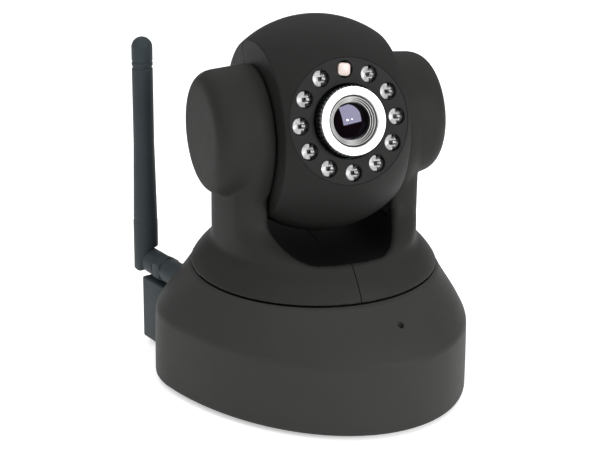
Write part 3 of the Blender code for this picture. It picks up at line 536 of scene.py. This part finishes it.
def feet():
    for place in ("front_left", "front_right", "rear_left", "rear_right"):
        node = "rubber_foot_" + place
        low, high = corners(node)
        radius, top = (high.x - low.x) / 2, high.z
        profile = rounded(((0, top), (radius, top, 0.1), (radius, 0.85, 0.4),
                           (radius - 1.7, 0.0, 0.8), (radius - 2.3, 0.0, 0.1),
                           (radius - 2.6, 0.3, 0.2), (0, 0.4)))
        piece("foot_" + place, lathe(profile, 64), over(node), "base", RUBBER, [node])


def screws():
    core, thread_depth, pitch = 1.3, 0.25, 1.2

    def thread(angles, reach, height):
        if not 4.0 < height < 13.5 or abs(reach - core) > 0.01:
            return np.full(len(angles), reach)
        return reach - thread_depth * np.abs((angles / math.pi + height * 2 / pitch) % 2 - 1)

    for number in range(1, 5):
        node = f"base_screw_{number}"
        low, high = corners(node)
        radius = (high.x - low.x) / 2
        head = rounded(((0, 14), (core, 14, 0.3), (core, 3.1), (radius, 3.1, 0.1),
                        (radius, 2.5, 0.3), (1.8, 2.1, 0.6), (0, 2.1)))
        shank = [(core, 13.4 - 0.1 * k) for k in range(94)]
        profile = [p for p in head if p[1] > 13.5] + shank + [p for p in head if p[1] < 3.5]
        cross = [block((-1.4, -0.28, 1.5), (1.4, 0.28, 2.95)),
                 block((-0.28, -1.4, 1.5), (0.28, 1.4, 2.95))]
        turn = Matrix.Rotation(math.radians(23 * number), 4, "Z")
        piece(f"screw_{number}", changed(lathe(profile, 40, relief=thread), cross),
              over(node) @ turn, "base", STEEL, [node])


def tripod_thread():
    low, high = corners("tripod_insert")
    radius = (high.x - low.x) / 2
    pitch = 1.27                          # 20 threads to the inch
    outer = rounded(((radius, low.z, 0.2), (radius, 4.6, 0.2), (radius - 0.5, 4.9, 0.2),
                     (radius - 0.5, 5.7, 0.2), (radius, 6.0, 0.2), (radius, high.z, 0.2),
                     (3.3, high.z)))
    bore = [(3.2, high.z - 0.05 - (high.z - low.z - 0.4) * k / 70) for k in range(71)]

    def relief(angles, reach, height):
        if reach < 3.25:
            return 3.3 - 0.45 * np.abs((angles / math.pi + height * 2 / pitch) % 2 - 1)
        if reach > radius - 0.1:
            return reach - 0.12 * (1 + np.cos(36 * angles)) / 2
        return np.full(len(angles), reach)

    piece("tripod_thread", lathe(outer + bore + [(3.4, low.z)], 144, closed=True, relief=relief),
          WORLD, "base", BRASS, ["tripod_insert"])


def reset_cap():
    low, high = corners("reset_button")
    profile = rounded(((0, high.z), (2.8, high.z, 0.2), (2.8, high.z - 0.6, 0.1),
                       (1.7, high.z - 0.6, 0.1), (1.7, low.z, 0.35), (0, low.z + 0.12)))
    piece("reset_cap", lathe(profile, 48), over("reset_button"), "reset", BLACK, ["reset_button"])


# ---- rear panel ----
DC_RISE, AUDIO_RISE = 5.6, 4.2            # heights of the round sockets' axes above their nodes


def backwards(x, y, z):
    """A frame at a point of the rear wall, with heights running out of the wall."""
    return frame_at(Vector((x, y, z)), Vector((1, 0, 0)), Vector((0, 1, 0)))


def rear_housing():
    low, high = corners("rear_housing")
    housing = block(low, high, 0.6, 3)
    tools = [block((low.x + WALL, 20, low.z + WALL), (high.x - WALL, high.y - WALL, high.z - WALL))]
    for node in ("ethernet_jack", "io_terminal_block"):
        a, b = corners(node)
        tools.append(block((a.x - GAP, high.y - 4.0, a.z - GAP),
                           (b.x + GAP, high.y + 4.0, b.z + GAP)))
    for node, rise, radius in (("dc_power_jack", DC_RISE, 4.3), ("audio_out_jack", AUDIO_RISE, 3.3),
                               ("audio_in_jack", AUDIO_RISE, 3.3)):
        a, b = corners(node)
        mouth = lathe(((0, -4), (radius, -4), (radius, -0.4), (radius + 0.5, 0.1),
                       (radius + 0.5, 2), (0, 2)), 64)
        tools.append(moved(mouth, backwards((a.x + b.x) / 2, high.y, a.z + rise)))
    piece("rear_socket_housing", changed(housing, tools), WORLD, "base", SLATE, ["rear_housing"],
          bevel=0.2)


def ethernet_socket():
    a, b = corners("ethernet_jack")
    middle = (a.x + b.x) / 2
    shell = block(a, b, 0.5, 3)
    mouth = [block((middle - 5.9, a.y + 4, a.z + 2.0), (middle + 5.9, 60, a.z + 9.0), 0.2),
             block((middle - 3.0, a.y + 4, a.z + 8.5), (middle + 3.0, 60, a.z + 10.6), 0.2),
             block((middle - 7.0, b.y - 0.6, a.z + 9.9), (middle - 4.4, 60, a.z + 11.8), 0.2),
             block((middle + 4.4, b.y - 0.6, a.z + 9.9), (middle + 7.0, 60, a.z + 11.8), 0.2)]
    piece("ethernet_shell", changed(shell, mouth), WORLD, "base", STEEL, ["ethernet_jack"],
          bevel=0.12)
    pitch = 1.02
    pins = [block((middle - 3.9 + pitch * k, a.y + 3, a.z + 2.4),
                  (middle - 3.4 + pitch * k, b.y - 2.5, a.z + 3.4), 0.12) for k in range(8)]
    piece("ethernet_contacts", together(*pins), WORLD, "base", BRASS)
    lights = [block((middle + x - 1.1, b.y - 0.9, a.z + 10.1),
                    (middle + x + 1.1, b.y - 0.25, a.z + 11.6), 0.25) for x in (-5.7, 5.7)]
    piece("ethernet_lamps", together(*lights), WORLD, "base", GREEN)


def round_socket(name, node, rise, nose, bore, finish):
    """A box with a round nose that ends level with the other sockets. Returns its frame."""
    low, high = corners(node)
    face = corners("ethernet_jack")[1].y
    place = backwards((low.x + high.x) / 2, face, low.z + rise)
    body = block(low, (high.x, face - 2.0, high.z), 0.3)
    cavity = lathe(((0, -9.5), (bore, -9.5), (bore, 3.0), (0, 3.0)), 64)
    stub = lathe(((0, -8), (nose, -8), (nose, 0), (0, 0)), 64)
    nosed = changed(body, [moved(stub, place)], "UNION")
    rim = lathe(((0, -0.55), (bore, -0.55), (bore + 0.55, 0.05), (0, 0.05)), 64)
    piece(name, changed(nosed, [moved(cavity, place), moved(rim, place)]), WORLD, "base",
          finish, [node], bevel=0.15)
    return place


def round_sockets():
    dc = round_socket("dc_socket", "dc_power_jack", DC_RISE, 4.0, 2.8, BLACK)
    pin = lathe(rounded(((0, -9.6), (0.95, -9.6), (0.95, -1.0, 0.4), (0.45, -1.0, 0.1),
                         (0.45, -2.5), (0, -2.5))), 40)
    piece("dc_pin", pin, dc, "base", STEEL)
    for label in ("out", "in"):
        place = round_socket(f"audio_{label}_socket", f"audio_{label}_jack", AUDIO_RISE, 3.0, 1.8,
                             GREEN)
        spring = lathe(rounded(((1.45, -3.0, 0.1), (1.75, -3.0, 0.1), (1.75, -5.0, 0.1),
                                (1.45, -5.0, 0.1)), closed=True), 40, closed=True)
        piece(f"audio_{label}_contact", spring, place, "base", STEEL)


def terminal_block():
    a, b = corners("io_terminal_block")
    middle = (a.x + b.x) / 2
    pitch = 2.6
    tools, heads = [], []
    for pole in range(4):
        x = middle + pitch * (pole - 1.5)
        tools.append(block((x - 0.85, b.y - 6.5, a.z + 1.4), (x + 0.85, 60, a.z + 3.6), 0.15))
        place = backwards(x, b.y, a.z + 6.2)
        tools.append(moved(lathe(((0, -4.5), (0.95, -4.5), (0.95, 2), (0, 2)), 32), place))
        head = lathe(rounded(((0, -4.4), (0.85, -4.4), (0.85, -0.9, 0.2), (0, -0.9))), 32)
        slit = block((-1.2, -0.14, -1.4), (1.2, 0.14, 0.5))
        spin = Matrix.Rotation(math.radians(35 * pole + 10), 4, "Z")
        heads.append(moved(changed(head, [slit]), place @ spin))
        if pole:
            tools.append(block((x - 1.35, b.y - 0.5, a.z + 0.5), (x - 1.25, 60, b.z + 1)))
    piece("terminal_block_body", changed(block(a, b, 0.3, 2), tools), WORLD, "base", GREEN,
          ["io_terminal_block"], bevel=0.1)
    piece("terminal_screws", together(*heads), WORLD, "base", STEEL)


# ---- antenna ----
def hinge_eye(radius, turn, bar):
    """Half of the antenna's hinge: a round cheek kept within the round bar that it ends."""
    cheek = lathe(rounded(((0, 0.15), (radius, 0.15, 0.1), (radius, radius - 0.3, 0.7),
                           (0, radius - 0.1))), 96)
    rod = lathe(((0, -20), (radius, -20), (radius, 20), (0, 20)), 96)
    return changed(moved(cheek, turn), [moved(rod, bar)], "INTERSECT")


def antenna():
    radius = 4.1
    reach = point("antenna_fold").y
    start = point("antenna_swivel").y
    collar = lathe(rounded(((0, 21.0), (3.0, 21.0, 0.2), (3.0, 27.0), (radius, 27.0, 0.3),
                            (radius, 38.3, 0.4), (3.4, 38.3), (3.4, 42.2), (2.8, 42.2),
                            (2.8, 45.2, 0.3), (0, 45.2))), 96)
    hexagon = prism(disc(4.75, 6, start=math.pi / 6), 38.0, 42.2)
    chamfer = lathe(rounded(((0, 37.9), (4.15, 37.9), (4.8, 38.6), (4.8, 41.6), (4.15, 42.25),
                             (0, 42.25))), 96)
    nut = changed(hexagon, [chamfer], "INTERSECT")
    piece("antenna_collar", changed(collar, [nut], "UNION"), ANTENNA, "base", SLATE,
          ["antenna_connector"], bevel=0.12)

    barrel = lathe(rounded(((0, start + 2.9), (3.1, start + 2.9), (3.1, start), (3.7, start, 0.2),
                            (radius, start + 0.5, 0.3), (radius, reach), (0, reach))), 96)
    tongue_side = block((-10, -10, start + 5.4), (0.15, 10, 70))
    barrel = changed(barrel, [tongue_side])
    # Both parts of the knuckle are made in the hinge's own frame, then joined.
    to_hinge = HINGE.inverted() @ ANTENNA
    eye = hinge_eye(radius, WORLD, to_hinge @ Matrix.Translation((0, 0, reach)))
    pin = lathe(rounded(((0, -2.9), (1.5, -2.9, 0.3), (1.5, 0.5), (0, 0.5))), 48)
    knuckle = changed(moved(barrel, to_hinge), [eye, pin], "UNION")
    piece("antenna_knuckle_barrel", knuckle, HINGE, "antenna_base", SLATE, ["antenna_knuckle"],
          bevel=0.15)

    tip = corners("antenna_mast")[1].z - point("antenna_fold").z
    slim = 3.45
    crown = [(slim * math.cos(a), tip - slim + slim * math.sin(a))
             for a in (math.pi / 2 * k / 12 for k in range(1, 13))]
    mast = lathe(rounded((
        (0, 0), (radius, 0), (radius, 13.6, 0.3), (radius - 0.12, 13.9, 0.2),
        (radius - 0.12, 15.6, 6.0), (slim, 41.0, 8.0), (slim, tip - 10.6, 0.1),
        (slim - 0.28, tip - 10.35, 0.05), (slim - 0.28, tip - 9.75, 0.05), (slim, tip - 9.5, 0.1),
        (slim, tip - 8.5, 0.1), (slim - 0.22, tip - 8.3, 0.05), (slim - 0.22, tip - 8.0, 0.05),
        (slim, tip - 7.8, 0.1), (slim, tip - slim), *crown)), 96)
    mast = changed(mast, [block((-0.15, -10, -10), (10, 10, 4.6))])
    sideways = Matrix.Rotation(math.radians(-90), 4, "Y")
    hole = moved(lathe(((0, -1), (1.8, -1), (1.8, 3.2), (0, 3.2)), 48), sideways)
    mast = changed(changed(mast, [hinge_eye(radius, sideways, WORLD)], "UNION"), [hole])
    piece("antenna_whip", mast, MAST, "antenna", SLATE, ["antenna_mast"], bevel=0.12)


# ---- turret: a skin found from a distance-like function ----
POD_RADIUS = 20.4                         # at the pod's inner end
POD_Z = corners("turret_right_half")[1].z - POD_RADIUS
POD_TAPER = 0.075
POD_END = 38.7                            # the pod's end face bulges: this is its middle
POD_BULGE = 0.0022
POD_EDGE = 5.6
HEAD_GAP = 20.8                           # half of the gap between the arms
ARM_RADIUS = 33.0
ARM_HALF_DEPTH = 14.5
ARM_EDGE = 3.5
RIM_Z = 49.3                              # top of the skirt's front wall
SKIRT_BOTTOM = 39.2
FLARE_OUT = 20.0                          # the quarter ellipse from the arm's front to the rim
FLARE_UP = 11.5
TROUGH_CORNER = 10.8
TROUGH_FLOOR = 46.2
NET_STEP = 0.6


def soft_max(a, b, k):
    h = np.clip(k - np.abs(a - b), 0, None) / k
    return np.maximum(a, b) + h * h * k / 4


def soft_min(a, b, k):
    return -soft_max(-a, -b, k)


def ease(value, low, high):
    t = np.clip((value - low) / (high - low), 0, 1)
    return t * t * (3 - 2 * t)


def turret_body(x, y, z):
    """Below zero inside the skirt, arm and pod on the +X side, before the head's gap."""
    radius = np.hypot(x, y)
    drop = soft_max(RIM_Z - 2.0 - z, 0.0, 1.5)              # depth below the skirt's upper edge
    side = (radius - ARM_RADIUS - 1.20 * drop + 0.043 * drop ** 2) / 1.25
    across = np.clip(1 - (np.abs(y) - ARM_HALF_DEPTH) / FLARE_OUT, 0, None)
    up = np.clip(1 - (z - RIM_Z) / FLARE_UP, 0, None)
    front = FLARE_UP * (1 - np.hypot(across, up))
    front = np.where(across > 1, np.minimum(front, np.abs(y) - ARM_HALF_DEPTH), front)
    arm = soft_max(front, side, ARM_EDGE)
    arm = np.maximum(arm, z - POD_Z)
    from_axis = np.hypot(y, z - POD_Z)
    wall = from_axis - (POD_RADIUS - POD_TAPER * (x - 21.4))
    cap = x - (POD_END - POD_BULGE * from_axis ** 2)
    pod = soft_max(wall, cap, POD_EDGE)
    blend = 1.2 + 5.0 * (1 - ease(x, 24.0, 31.5))           # a wide fillet near the head
    return soft_min(arm, pod, blend)


def trough(x, y, z):
    """Above zero in the gap for the head."""
    floor = np.minimum(TROUGH_FLOOR + 0.0026 * (x * x + y * y), RIM_Z - 0.2)
    inward = np.clip(np.abs(x) - (HEAD_GAP - TROUGH_CORNER), 0, None)
    rise = np.clip(floor + TROUGH_CORNER - z, 0, None)
    return TROUGH_CORNER - np.hypot(inward, rise)


def turret_field(x, y, z):
    body = turret_body(x, y, z)
    gap = trough(x, y, z)
    edge = 0.9 + 1.6 * ease(z, 52.0, 60.0) * (1 - ease(z, 66.0, 70.0))
    outer = soft_max(body, gap, edge)
    # Hollow, with a wall under the trough; the arm is open towards the head, where its cover sits.
    below = np.minimum(gap + WALL, np.maximum(HEAD_GAP - x, 51.0 - z))
    hollow = np.maximum(body + WALL, below)
    return np.maximum(soft_max(outer, SKIRT_BOTTOM - z, 0.4), -hollow)


def surface_net(field, low, high, step):
    """Quads round the cells where the field changes sign."""
    counts = [int(math.ceil((b - a) / step)) + 1 for a, b in zip(low, high)]
    lines = [a + step * np.arange(n) for a, n in zip(low, counts)]
    values = field(lines[0][:, None, None], lines[1][None, :, None], lines[2][None, None, :])
    inside = values < 0
    cells = tuple(n - 1 for n in counts)
    total = np.zeros((*cells, 3))
    hits = np.zeros(cells)
    for way in range(3):
        a = [slice(None)] * 3
        b = [slice(None)] * 3
        a[way], b[way] = slice(0, -1), slice(1, None)
        va, vb = values[tuple(a)], values[tuple(b)]
        where = np.argwhere((va < 0) != (vb < 0))
        va, vb = va[tuple(where.T)], vb[tuple(where.T)]
        place = where.astype(float)
        place[:, way] += va / (va - vb)
        others = [k for k in range(3) if k != way]
        for da in (0, 1):
            for db in (0, 1):
                cell = where.copy()
                cell[:, others[0]] -= da
                cell[:, others[1]] -= db
                good = np.all((cell >= 0) & (cell < cells), axis=1)
                np.add.at(total, tuple(cell[good].T), place[good])
                np.add.at(hits, tuple(cell[good].T), 1)
    number = np.full(cells, -1)
    used = hits > 0
    number[used] = np.arange(used.sum())
    verts = total[used] / hits[used][:, None] * step + np.array(low)
    faces = []
    for way in range(3):
        a = [slice(None)] * 3
        b = [slice(None)] * 3
        a[way], b[way] = slice(0, -1), slice(1, None)
        here, there = inside[tuple(a)], inside[tuple(b)]
        where = np.argwhere(here != there)
        first, second = (way + 1) % 3, (way + 2) % 3
        where = where[(where[:, first] > 0) & (where[:, second] > 0)
                      & (where[:, first] < cells[first]) & (where[:, second] < cells[second])]
        quad = []
        for da, db in ((0, 0), (1, 0), (1, 1), (0, 1)):
            cell = where.copy()
            cell[:, first] -= da
            cell[:, second] -= db
            quad.append(number[tuple(cell.T)])
        quad = np.stack(quad, axis=1)
        flip = there[tuple(where.T)]
        quad[flip] = quad[flip][:, ::-1]
        faces.append(quad)
    return verts, np.concatenate(faces)


def settled(field, verts, faces, rounds=3):
    """Even out the net and bring its points onto the surface."""
    pairs = np.concatenate([faces[:, [0, 1]], faces[:, [1, 2]], faces[:, [2, 3]], faces[:, [3, 0]]])
    small = 0.02
    for _ in range(rounds):
        total = np.zeros_like(verts)
        count = np.zeros(len(verts))
        for a, b in ((0, 1), (1, 0)):
            np.add.at(total, pairs[:, a], verts[pairs[:, b]])
            np.add.at(count, pairs[:, a], 1)
        verts = 0.5 * verts + 0.5 * total / np.maximum(count, 1)[:, None]
        for _ in range(3):
            value = field(*verts.T)
            slope = np.stack([(field(*(verts + shift).T) - field(*(verts - shift).T)) / (2 * small)
                              for shift in np.eye(3) * small], axis=1)
            size = np.maximum((slope ** 2).sum(1), 0.05)
            verts = verts - np.clip(value / size, -0.4, 0.4)[:, None] * slope
    return verts


def turret():
    verts, faces = surface_net(turret_field, (-1.2, -41.2, 38.2), (39.9, 41.2, 106.8),
                               NET_STEP)
    verts = settled(turret_field, verts, faces)
    bm = bmesh.new()
    bm.from_mesh(mesh_of(verts, faces))
    sliced = bmesh.ops.bisect_plane(bm, geom=bm.verts[:] + bm.edges[:] + bm.faces[:],
                                    plane_co=(GAP / 2, 0, 0), plane_no=(-1, 0, 0),
                                    clear_outer=True)
    rim = [item for item in sliced["geom_cut"] if isinstance(item, bmesh.types.BMEdge)]
    bmesh.ops.holes_fill(bm, edges=rim)
    half = from_bmesh(bm)
    mirrored = moved(half, Matrix.Diagonal((-1, 1, 1, 1)))
    # Painted shade: the gap for the head gets a near-black, less glossy copy of the charcoal,
    # standing in for the head's shadow in the trough.
    centres = np.array([tuple(face.center) for face in half.polygons])
    skin, shade_top = 0.12, 72.0
    painted_shade_faces = (trough(*centres.T) > -skin) & (centres[:, 2] < shade_top)
    for label, shape in (("right", half), ("left", mirrored)):
        # Painted shade: the outside of each half takes the darker turret copy of the charcoal.
        made = piece(f"turret_{label}_moulding", shape, TURRET, "turret", TURRET_SHADED_CHARCOAL,
                     [f"turret_{label}_half"], sharp=50)
        made.data.materials.append(SADDLE_PAINTED_SHADE.material)
        made.data.polygons.foreach_set("material_index", painted_shade_faces.astype(np.int32))


# ---- head ----
HEAD_RADIUS = 34.15
HEAD_HALF_WIDTH = 20.35
SPLIT_Y = 4.0
FACE_FRONT = 28.15
FACE_RADIUS = 19.2
FACE_HOLE = 11.3
LED_CIRCLE = 15.6
LED_RADIUS = 2.4
LED_BASE = FACE_FRONT - 4.5
LED_TIP = FACE_FRONT + 1.0


def ball(radius, half_width, hole, soften, steps):
    """Half profile of a ball cut flat at both ends, as (radius, height) about the tilt axis."""
    edge = math.asin(half_width / radius)
    arc = [(radius * math.cos(a), radius * math.sin(a))
           for a in (edge * (1 - 2 * k / steps) for k in range(steps + 1))]
    arc[0] = (*arc[0], soften)
    arc[-1] = (*arc[-1], soften)
    return rounded(((hole, half_width), *arc, (hole, -half_width)), steps=6)


def head():
    outer = ball(HEAD_RADIUS, HEAD_HALF_WIDTH, 5.3, 1.2, 48)
    inner = ball(HEAD_RADIUS - WALL, HEAD_HALF_WIDTH - WALL, 5.3, 0.5, 24)
    shell = moved(lathe(outer + inner[::-1], 180, closed=True), RIGHT_POD)
    shell = moved(shell, LENS.inverted())
    # In the lens frame the split is a plane across the lens axis.
    front = block((-60, -60, -SPLIT_Y + GAP / 2), (60, 60, 60))
    rear = block((-60, -60, -60), (60, 60, -SPLIT_Y - GAP / 2))
    opening = lathe(((0, 12), (FACE_RADIUS + 0.07, 12), (FACE_RADIUS + 0.07, 60), (0, 60)), 180)
    front_shell = changed(changed(shell, [front], "INTERSECT"), [opening])
    rear_shell = changed(shell.copy(), [rear], "INTERSECT")
    # Painted shade: both head shells take the darker head copy of the charcoal.
    piece("head_front_moulding", front_shell, LENS, "head", HEAD_SHADED_CHARCOAL, ["head_front_shell"])
    piece("head_rear_moulding", rear_shell, LENS, "head", HEAD_SHADED_CHARCOAL, ["head_rear_shell"])


def led_place(number):
    angle = math.radians(30 * number)
    return Matrix.Translation((LED_CIRCLE * math.sin(angle), LED_CIRCLE * math.cos(angle), 0))


def face():
    plate = lathe(rounded(((FACE_RADIUS, FACE_FRONT, 0.12), (FACE_RADIUS, FACE_FRONT - 2.0, 0.2),
                           (FACE_HOLE, FACE_FRONT - 2.0, 0.2), (FACE_HOLE, FACE_FRONT, 0.3)),
                          closed=True), 180, closed=True)
    well = lathe(((0, 20), (LED_RADIUS + 0.2, 20), (LED_RADIUS + 0.2, FACE_FRONT - 0.15),
                  (LED_RADIUS + 0.4, FACE_FRONT + 0.05), (LED_RADIUS + 0.4, 40), (0, 40)), 48)
    tools = [moved(well, led_place(number)) for number in range(12)]
    # Painted shade: the face disc takes the darker head copy of the charcoal.
    piece("face_disc", changed(plate, tools), LENS, "head", HEAD_SHADED_CHARCOAL, ["face_plate"])


def leds():
    base = LED_BASE
    dome = [(LED_RADIUS * math.sin(a), LED_TIP - LED_RADIUS + LED_RADIUS * math.cos(a))
            for a in (math.pi / 2 * i / 12 for i in range(13))]
    skin = dome + rounded(((LED_RADIUS, base + 1.0), (LED_RADIUS + 0.28, base + 1.0, 0.1),
                           (LED_RADIUS + 0.28, base + 0.05, 0.2), (0, base + 0.05)))
    cup = lathe(rounded(((0, base + 1.7), (0.5, base + 1.7, 0.1), (1.25, base + 2.4, 0.1),
                         (1.5, base + 2.4, 0.05), (1.5, base + 1.5), (0, base + 1.5))), 40)
    # The cup stops short on its right, where the second lead stands.
    notches = [block((0.85, 0.45, base), (3, 3, base + 4)),
               block((0.60, -0.50, base), (3, 0.20, base + 4)),
               block((0.80, -3, base), (3, -0.70, base + 4))]
    cup = moved(changed(cup, notches), Matrix.Translation((-0.35, 0.05, 0)))
    lead = block((0.85, -0.25, base + 1.5), (1.2, 0.10, base + 2.5), 0.08)
    backing = lathe(((0, base + 1.4), (2.35, base + 1.4), (2.35, base + 1.1), (0, base + 1.1)), 40)
    cups, backings = [], []
    for number in range(1, 12):
        piece(f"led_dome_{number:02d}", lathe(skin, 48), LENS @ led_place(number), "head", CLEAR,
              [f"ir_led_{number:02d}"])
        cups += [moved(cup, led_place(number)), moved(lead, led_place(number))]
        backings.append(moved(backing, led_place(number)))
    piece("led_reflector_cups", together(*cups), LENS, "head", CUP)
    piece("led_backings", together(*backings), LENS, "head", BLACK)


def light_sensor():
    half, corner = 1.95, 1.1
    window = rounded(((-half, -half, corner), (half, -half, corner), (half, half, corner),
                      (-half, half, corner)), closed=True)
    sensor = prism(window, LED_BASE, FACE_FRONT - 0.1, 0.25, 3)
    askew = Matrix.Rotation(-0.14, 4, "Z")
    piece("light_sensor_window", sensor, LENS @ led_place(0) @ askew, "head", CERAMIC,
          ["light_sensor"])


RING_BORE = 7.7


def focus_ring():
    bore, ring_radius, ridges, ridge_depth = RING_BORE, 10.8, 52, 0.55

    def knurl(angles, reach, height):
        if reach < ring_radius - 0.3:
            return np.full(len(angles), reach)
        wave = np.abs((angles * ridges / (2 * math.pi)) % 1 * 2 - 1)
        return reach - ridge_depth * wave

    top = LENS_FRONT
    rim = 10.35
    ring = rounded(((bore, top - 0.5), (bore + 0.35, top, 0.08), (rim - 0.1, top, 0.08),
                    (rim, top - 0.2, 0.05), (rim, top - 0.85), (bore, top - 0.85)))
    piece("focus_ring_front", lathe(ring, 180, closed=True), LENS, "focus", SILVER, ["focus_ring"],
          sharp=28)
    grip = [(bore, top - 0.9), (rim - 0.2, top - 0.9), (ring_radius - 0.15, top - 0.95),
            (ring_radius, top - 1.15), (ring_radius, top - 2.4), (ring_radius, top - 3.8),
            (ring_radius, top - 5.2), (ring_radius - 0.15, top - 5.45), (rim - 0.3, top - 5.6),
            (bore, top - 5.6)]
    piece("focus_ring_grip", lathe(grip, ridges * 4, closed=True, relief=knurl), LENS, "focus",
          GRIP, sharp=28)


def lens_barrel():
    top = LENS_FRONT
    outer = RING_BORE - GAP
    threads = []
    for turn in range(3):
        z = top - 0.9 - 0.45 * turn
        r = 7.25 - 0.53 * turn
        threads += [(r, z), (r - 0.24, z), (r - 0.26, z - 1.0), (r - 0.51, z - 1.0)]
    glass = 5.45
    barrel = rounded(((outer, top - 6.4), (outer, top - 0.8, 0.2), (outer - 0.1, top - 0.8, 0.1)))
    barrel += threads + [(glass + 0.21, top - 2.4), (glass + 0.12, top - 4.15),
                         (glass + 0.10, top - 6.0), (4.0, top - 6.0), (4.0, top - 12),
                         (3.4, top - 12.4), (3.4, top - 23), (6.1, top - 23), (6.1, top - 6.8)]
    piece("lens_tube", lathe(barrel, 120, closed=True), LENS, "lens", TUBE, ["lens_barrel"],
          sharp=25)
    dome = [(glass * i / 16, top - 3.75 - 0.48 * (i / 16) ** 2) for i in range(17)]
    back_face = [(glass, top - 5.2), (glass * 0.8, top - 5.3), (glass * 0.45, top - 5.05),
                 (0, top - 4.95)]
    piece("front_element", lathe(dome + back_face, 96), LENS, "lens", GLASS, ["front_lens"])


# ---- pieces that keep their CAD shape ----
def dress_cad_nodes():
    finishes = {
        BLACK: ("turret_base", "left_arm_cover", "right_arm_cover", "left_trunnion", "lens_mount",
                "speaker", "microphone"),
        WHITE: ("pan_gear", "pan_pinion", "pan_bearing_ring", "tilt_gear", "tilt_pinion"),
        STEEL: ("pan_motor", "tilt_motor"),
        BOARD: ("main_board", "wifi_module", "led_board", "sensor_board"),
    }
    for finish, names in finishes.items():
        for name in names:
            node = frame["nodes"][name]
            node.data.materials.clear()
            node.data.materials.append(finish.material)


# ---- stage ----
def stage_sheet(name, half_width, half_depth, thickness, place, finish):
    outline = ((-half_width, -half_depth), (half_width, -half_depth), (half_width, half_depth),
               (-half_width, half_depth))
    sheet = bpy.data.objects.new(name, prism(outline, *thickness))
    sheet.data.transform(Matrix.Scale(MM, 4) @ place)
    sheet.data.materials.append(finish.material)
    bpy.context.scene.collection.objects.link(sheet)
    return sheet


def floor_and_card():
    white = Finish("floor_finish", Base_Color=(0.93, 0.93, 0.93), Roughness=0.9,
                   Emission_Color=(1.0, 1.0, 1.0), Emission_Strength=0.45)
    stage_sheet("floor", 4000, 4000, (-20, 0), WORLD, white)
    black = Finish("dark_card_finish", Base_Color=(0.01, 0.01, 0.01), Roughness=0.9)
    facing = frame_at(Vector((105, -1120, 430)), Vector((1, 0, 0)), Vector((-0.1, 0.95, -0.3)))
    card = stage_sheet("dark_card", 700, 900, (0, 4), facing, black)
    card.visible_camera = False          # it only darkens what the lens and the ring reflect


def sky():
    """Plain white for the camera, while the light that it casts grows towards the top."""
    world = bpy.data.worlds.new("studio")
    bpy.context.scene.world = world
    world.use_nodes = True
    backdrop = world.node_tree.nodes["Background"].inputs
    backdrop["Color"].default_value = (1, 1, 1, 1)
    add = world.node_tree.nodes.new
    link = world.node_tree.links.new
    height = add("ShaderNodeSeparateXYZ")
    link(add("ShaderNodeTexCoord").outputs["Generated"], height.inputs["Vector"])
    dome = add("ShaderNodeMapRange")
    dome.inputs["To Min"].default_value = 0.05
    dome.inputs["To Max"].default_value = 1.45
    link(height.outputs["Z"], dome.inputs["Value"])
    level = add("ShaderNodeMapRange")
    link(add("ShaderNodeLightPath").outputs["Is Camera Ray"], level.inputs["Value"])
    link(dome.outputs["Result"], level.inputs["To Min"])
    link(level.outputs["Result"], backdrop["Strength"])


def lamp(name, place, target, size, power):
    """A rectangular softbox; places and sizes in metres, power in watts."""
    light = bpy.data.lights.new(name, "AREA")
    light.shape = "RECTANGLE"
    light.size, light.size_y = size
    light.energy = power
    made = bpy.data.objects.new(name, light)
    made.location = place
    made.rotation_euler = (Vector(target) - Vector(place)).to_track_quat("-Z", "Y").to_euler()
    bpy.context.scene.collection.objects.link(made)


def lamps():
    centre = (0, 0, 0.06)
    lens_centre = (-0.008, -0.030, 0.095)
    lamp("left_softbox", (-0.75, -0.65, 0.75), centre, (0.8, 0.8), 2.0)
    lamp("front_softbox", (0.165, -0.88, 0.43), lens_centre, (0.385, 0.345), 5.0)
    lamp("small_light_1", (0.075, -0.87, 0.33), centre, (0.026, 0.026), 0.35)
    lamp("small_light_2", (0.165, -0.87, 0.33), centre, (0.018, 0.018), 0.1)


def camera():
    lens = bpy.data.cameras.new("camera")
    lens.sensor_width = 36.0
    lens.lens = 101.4
    holder = bpy.data.objects.new("camera", lens)
    elevation, roll, azimuth = math.radians(21.01), math.radians(0.76), math.radians(-37.0)
    distance, centre_height, side_step = 0.54564, 0.05021, -0.00444
    right = Vector((math.cos(roll), math.sin(roll) * math.sin(elevation),
                    math.sin(roll) * math.cos(elevation)))
    back = Vector((0, -math.cos(elevation), math.sin(elevation)))
    view = Matrix((right, back.cross(right), back)).transposed().to_4x4()
    place = back * distance + Vector((side_step, 0, centre_height))
    holder.matrix_world = Matrix.Rotation(azimuth, 4, "Z") @ Matrix.Translation(place) @ view
    bpy.context.scene.collection.objects.link(holder)
    bpy.context.scene.camera = holder
    bpy.context.scene.view_settings.view_transform = "Standard"


base_shell()
base_plate()
feet()
screws()
tripod_thread()
reset_cap()
rear_housing()
ethernet_socket()
round_sockets()
terminal_block()
antenna()
turret()
head()
face()
leds()
light_sensor()
focus_ring()
lens_barrel()
dress_cad_nodes()
floor_and_card()
sky()
lamps()
camera()
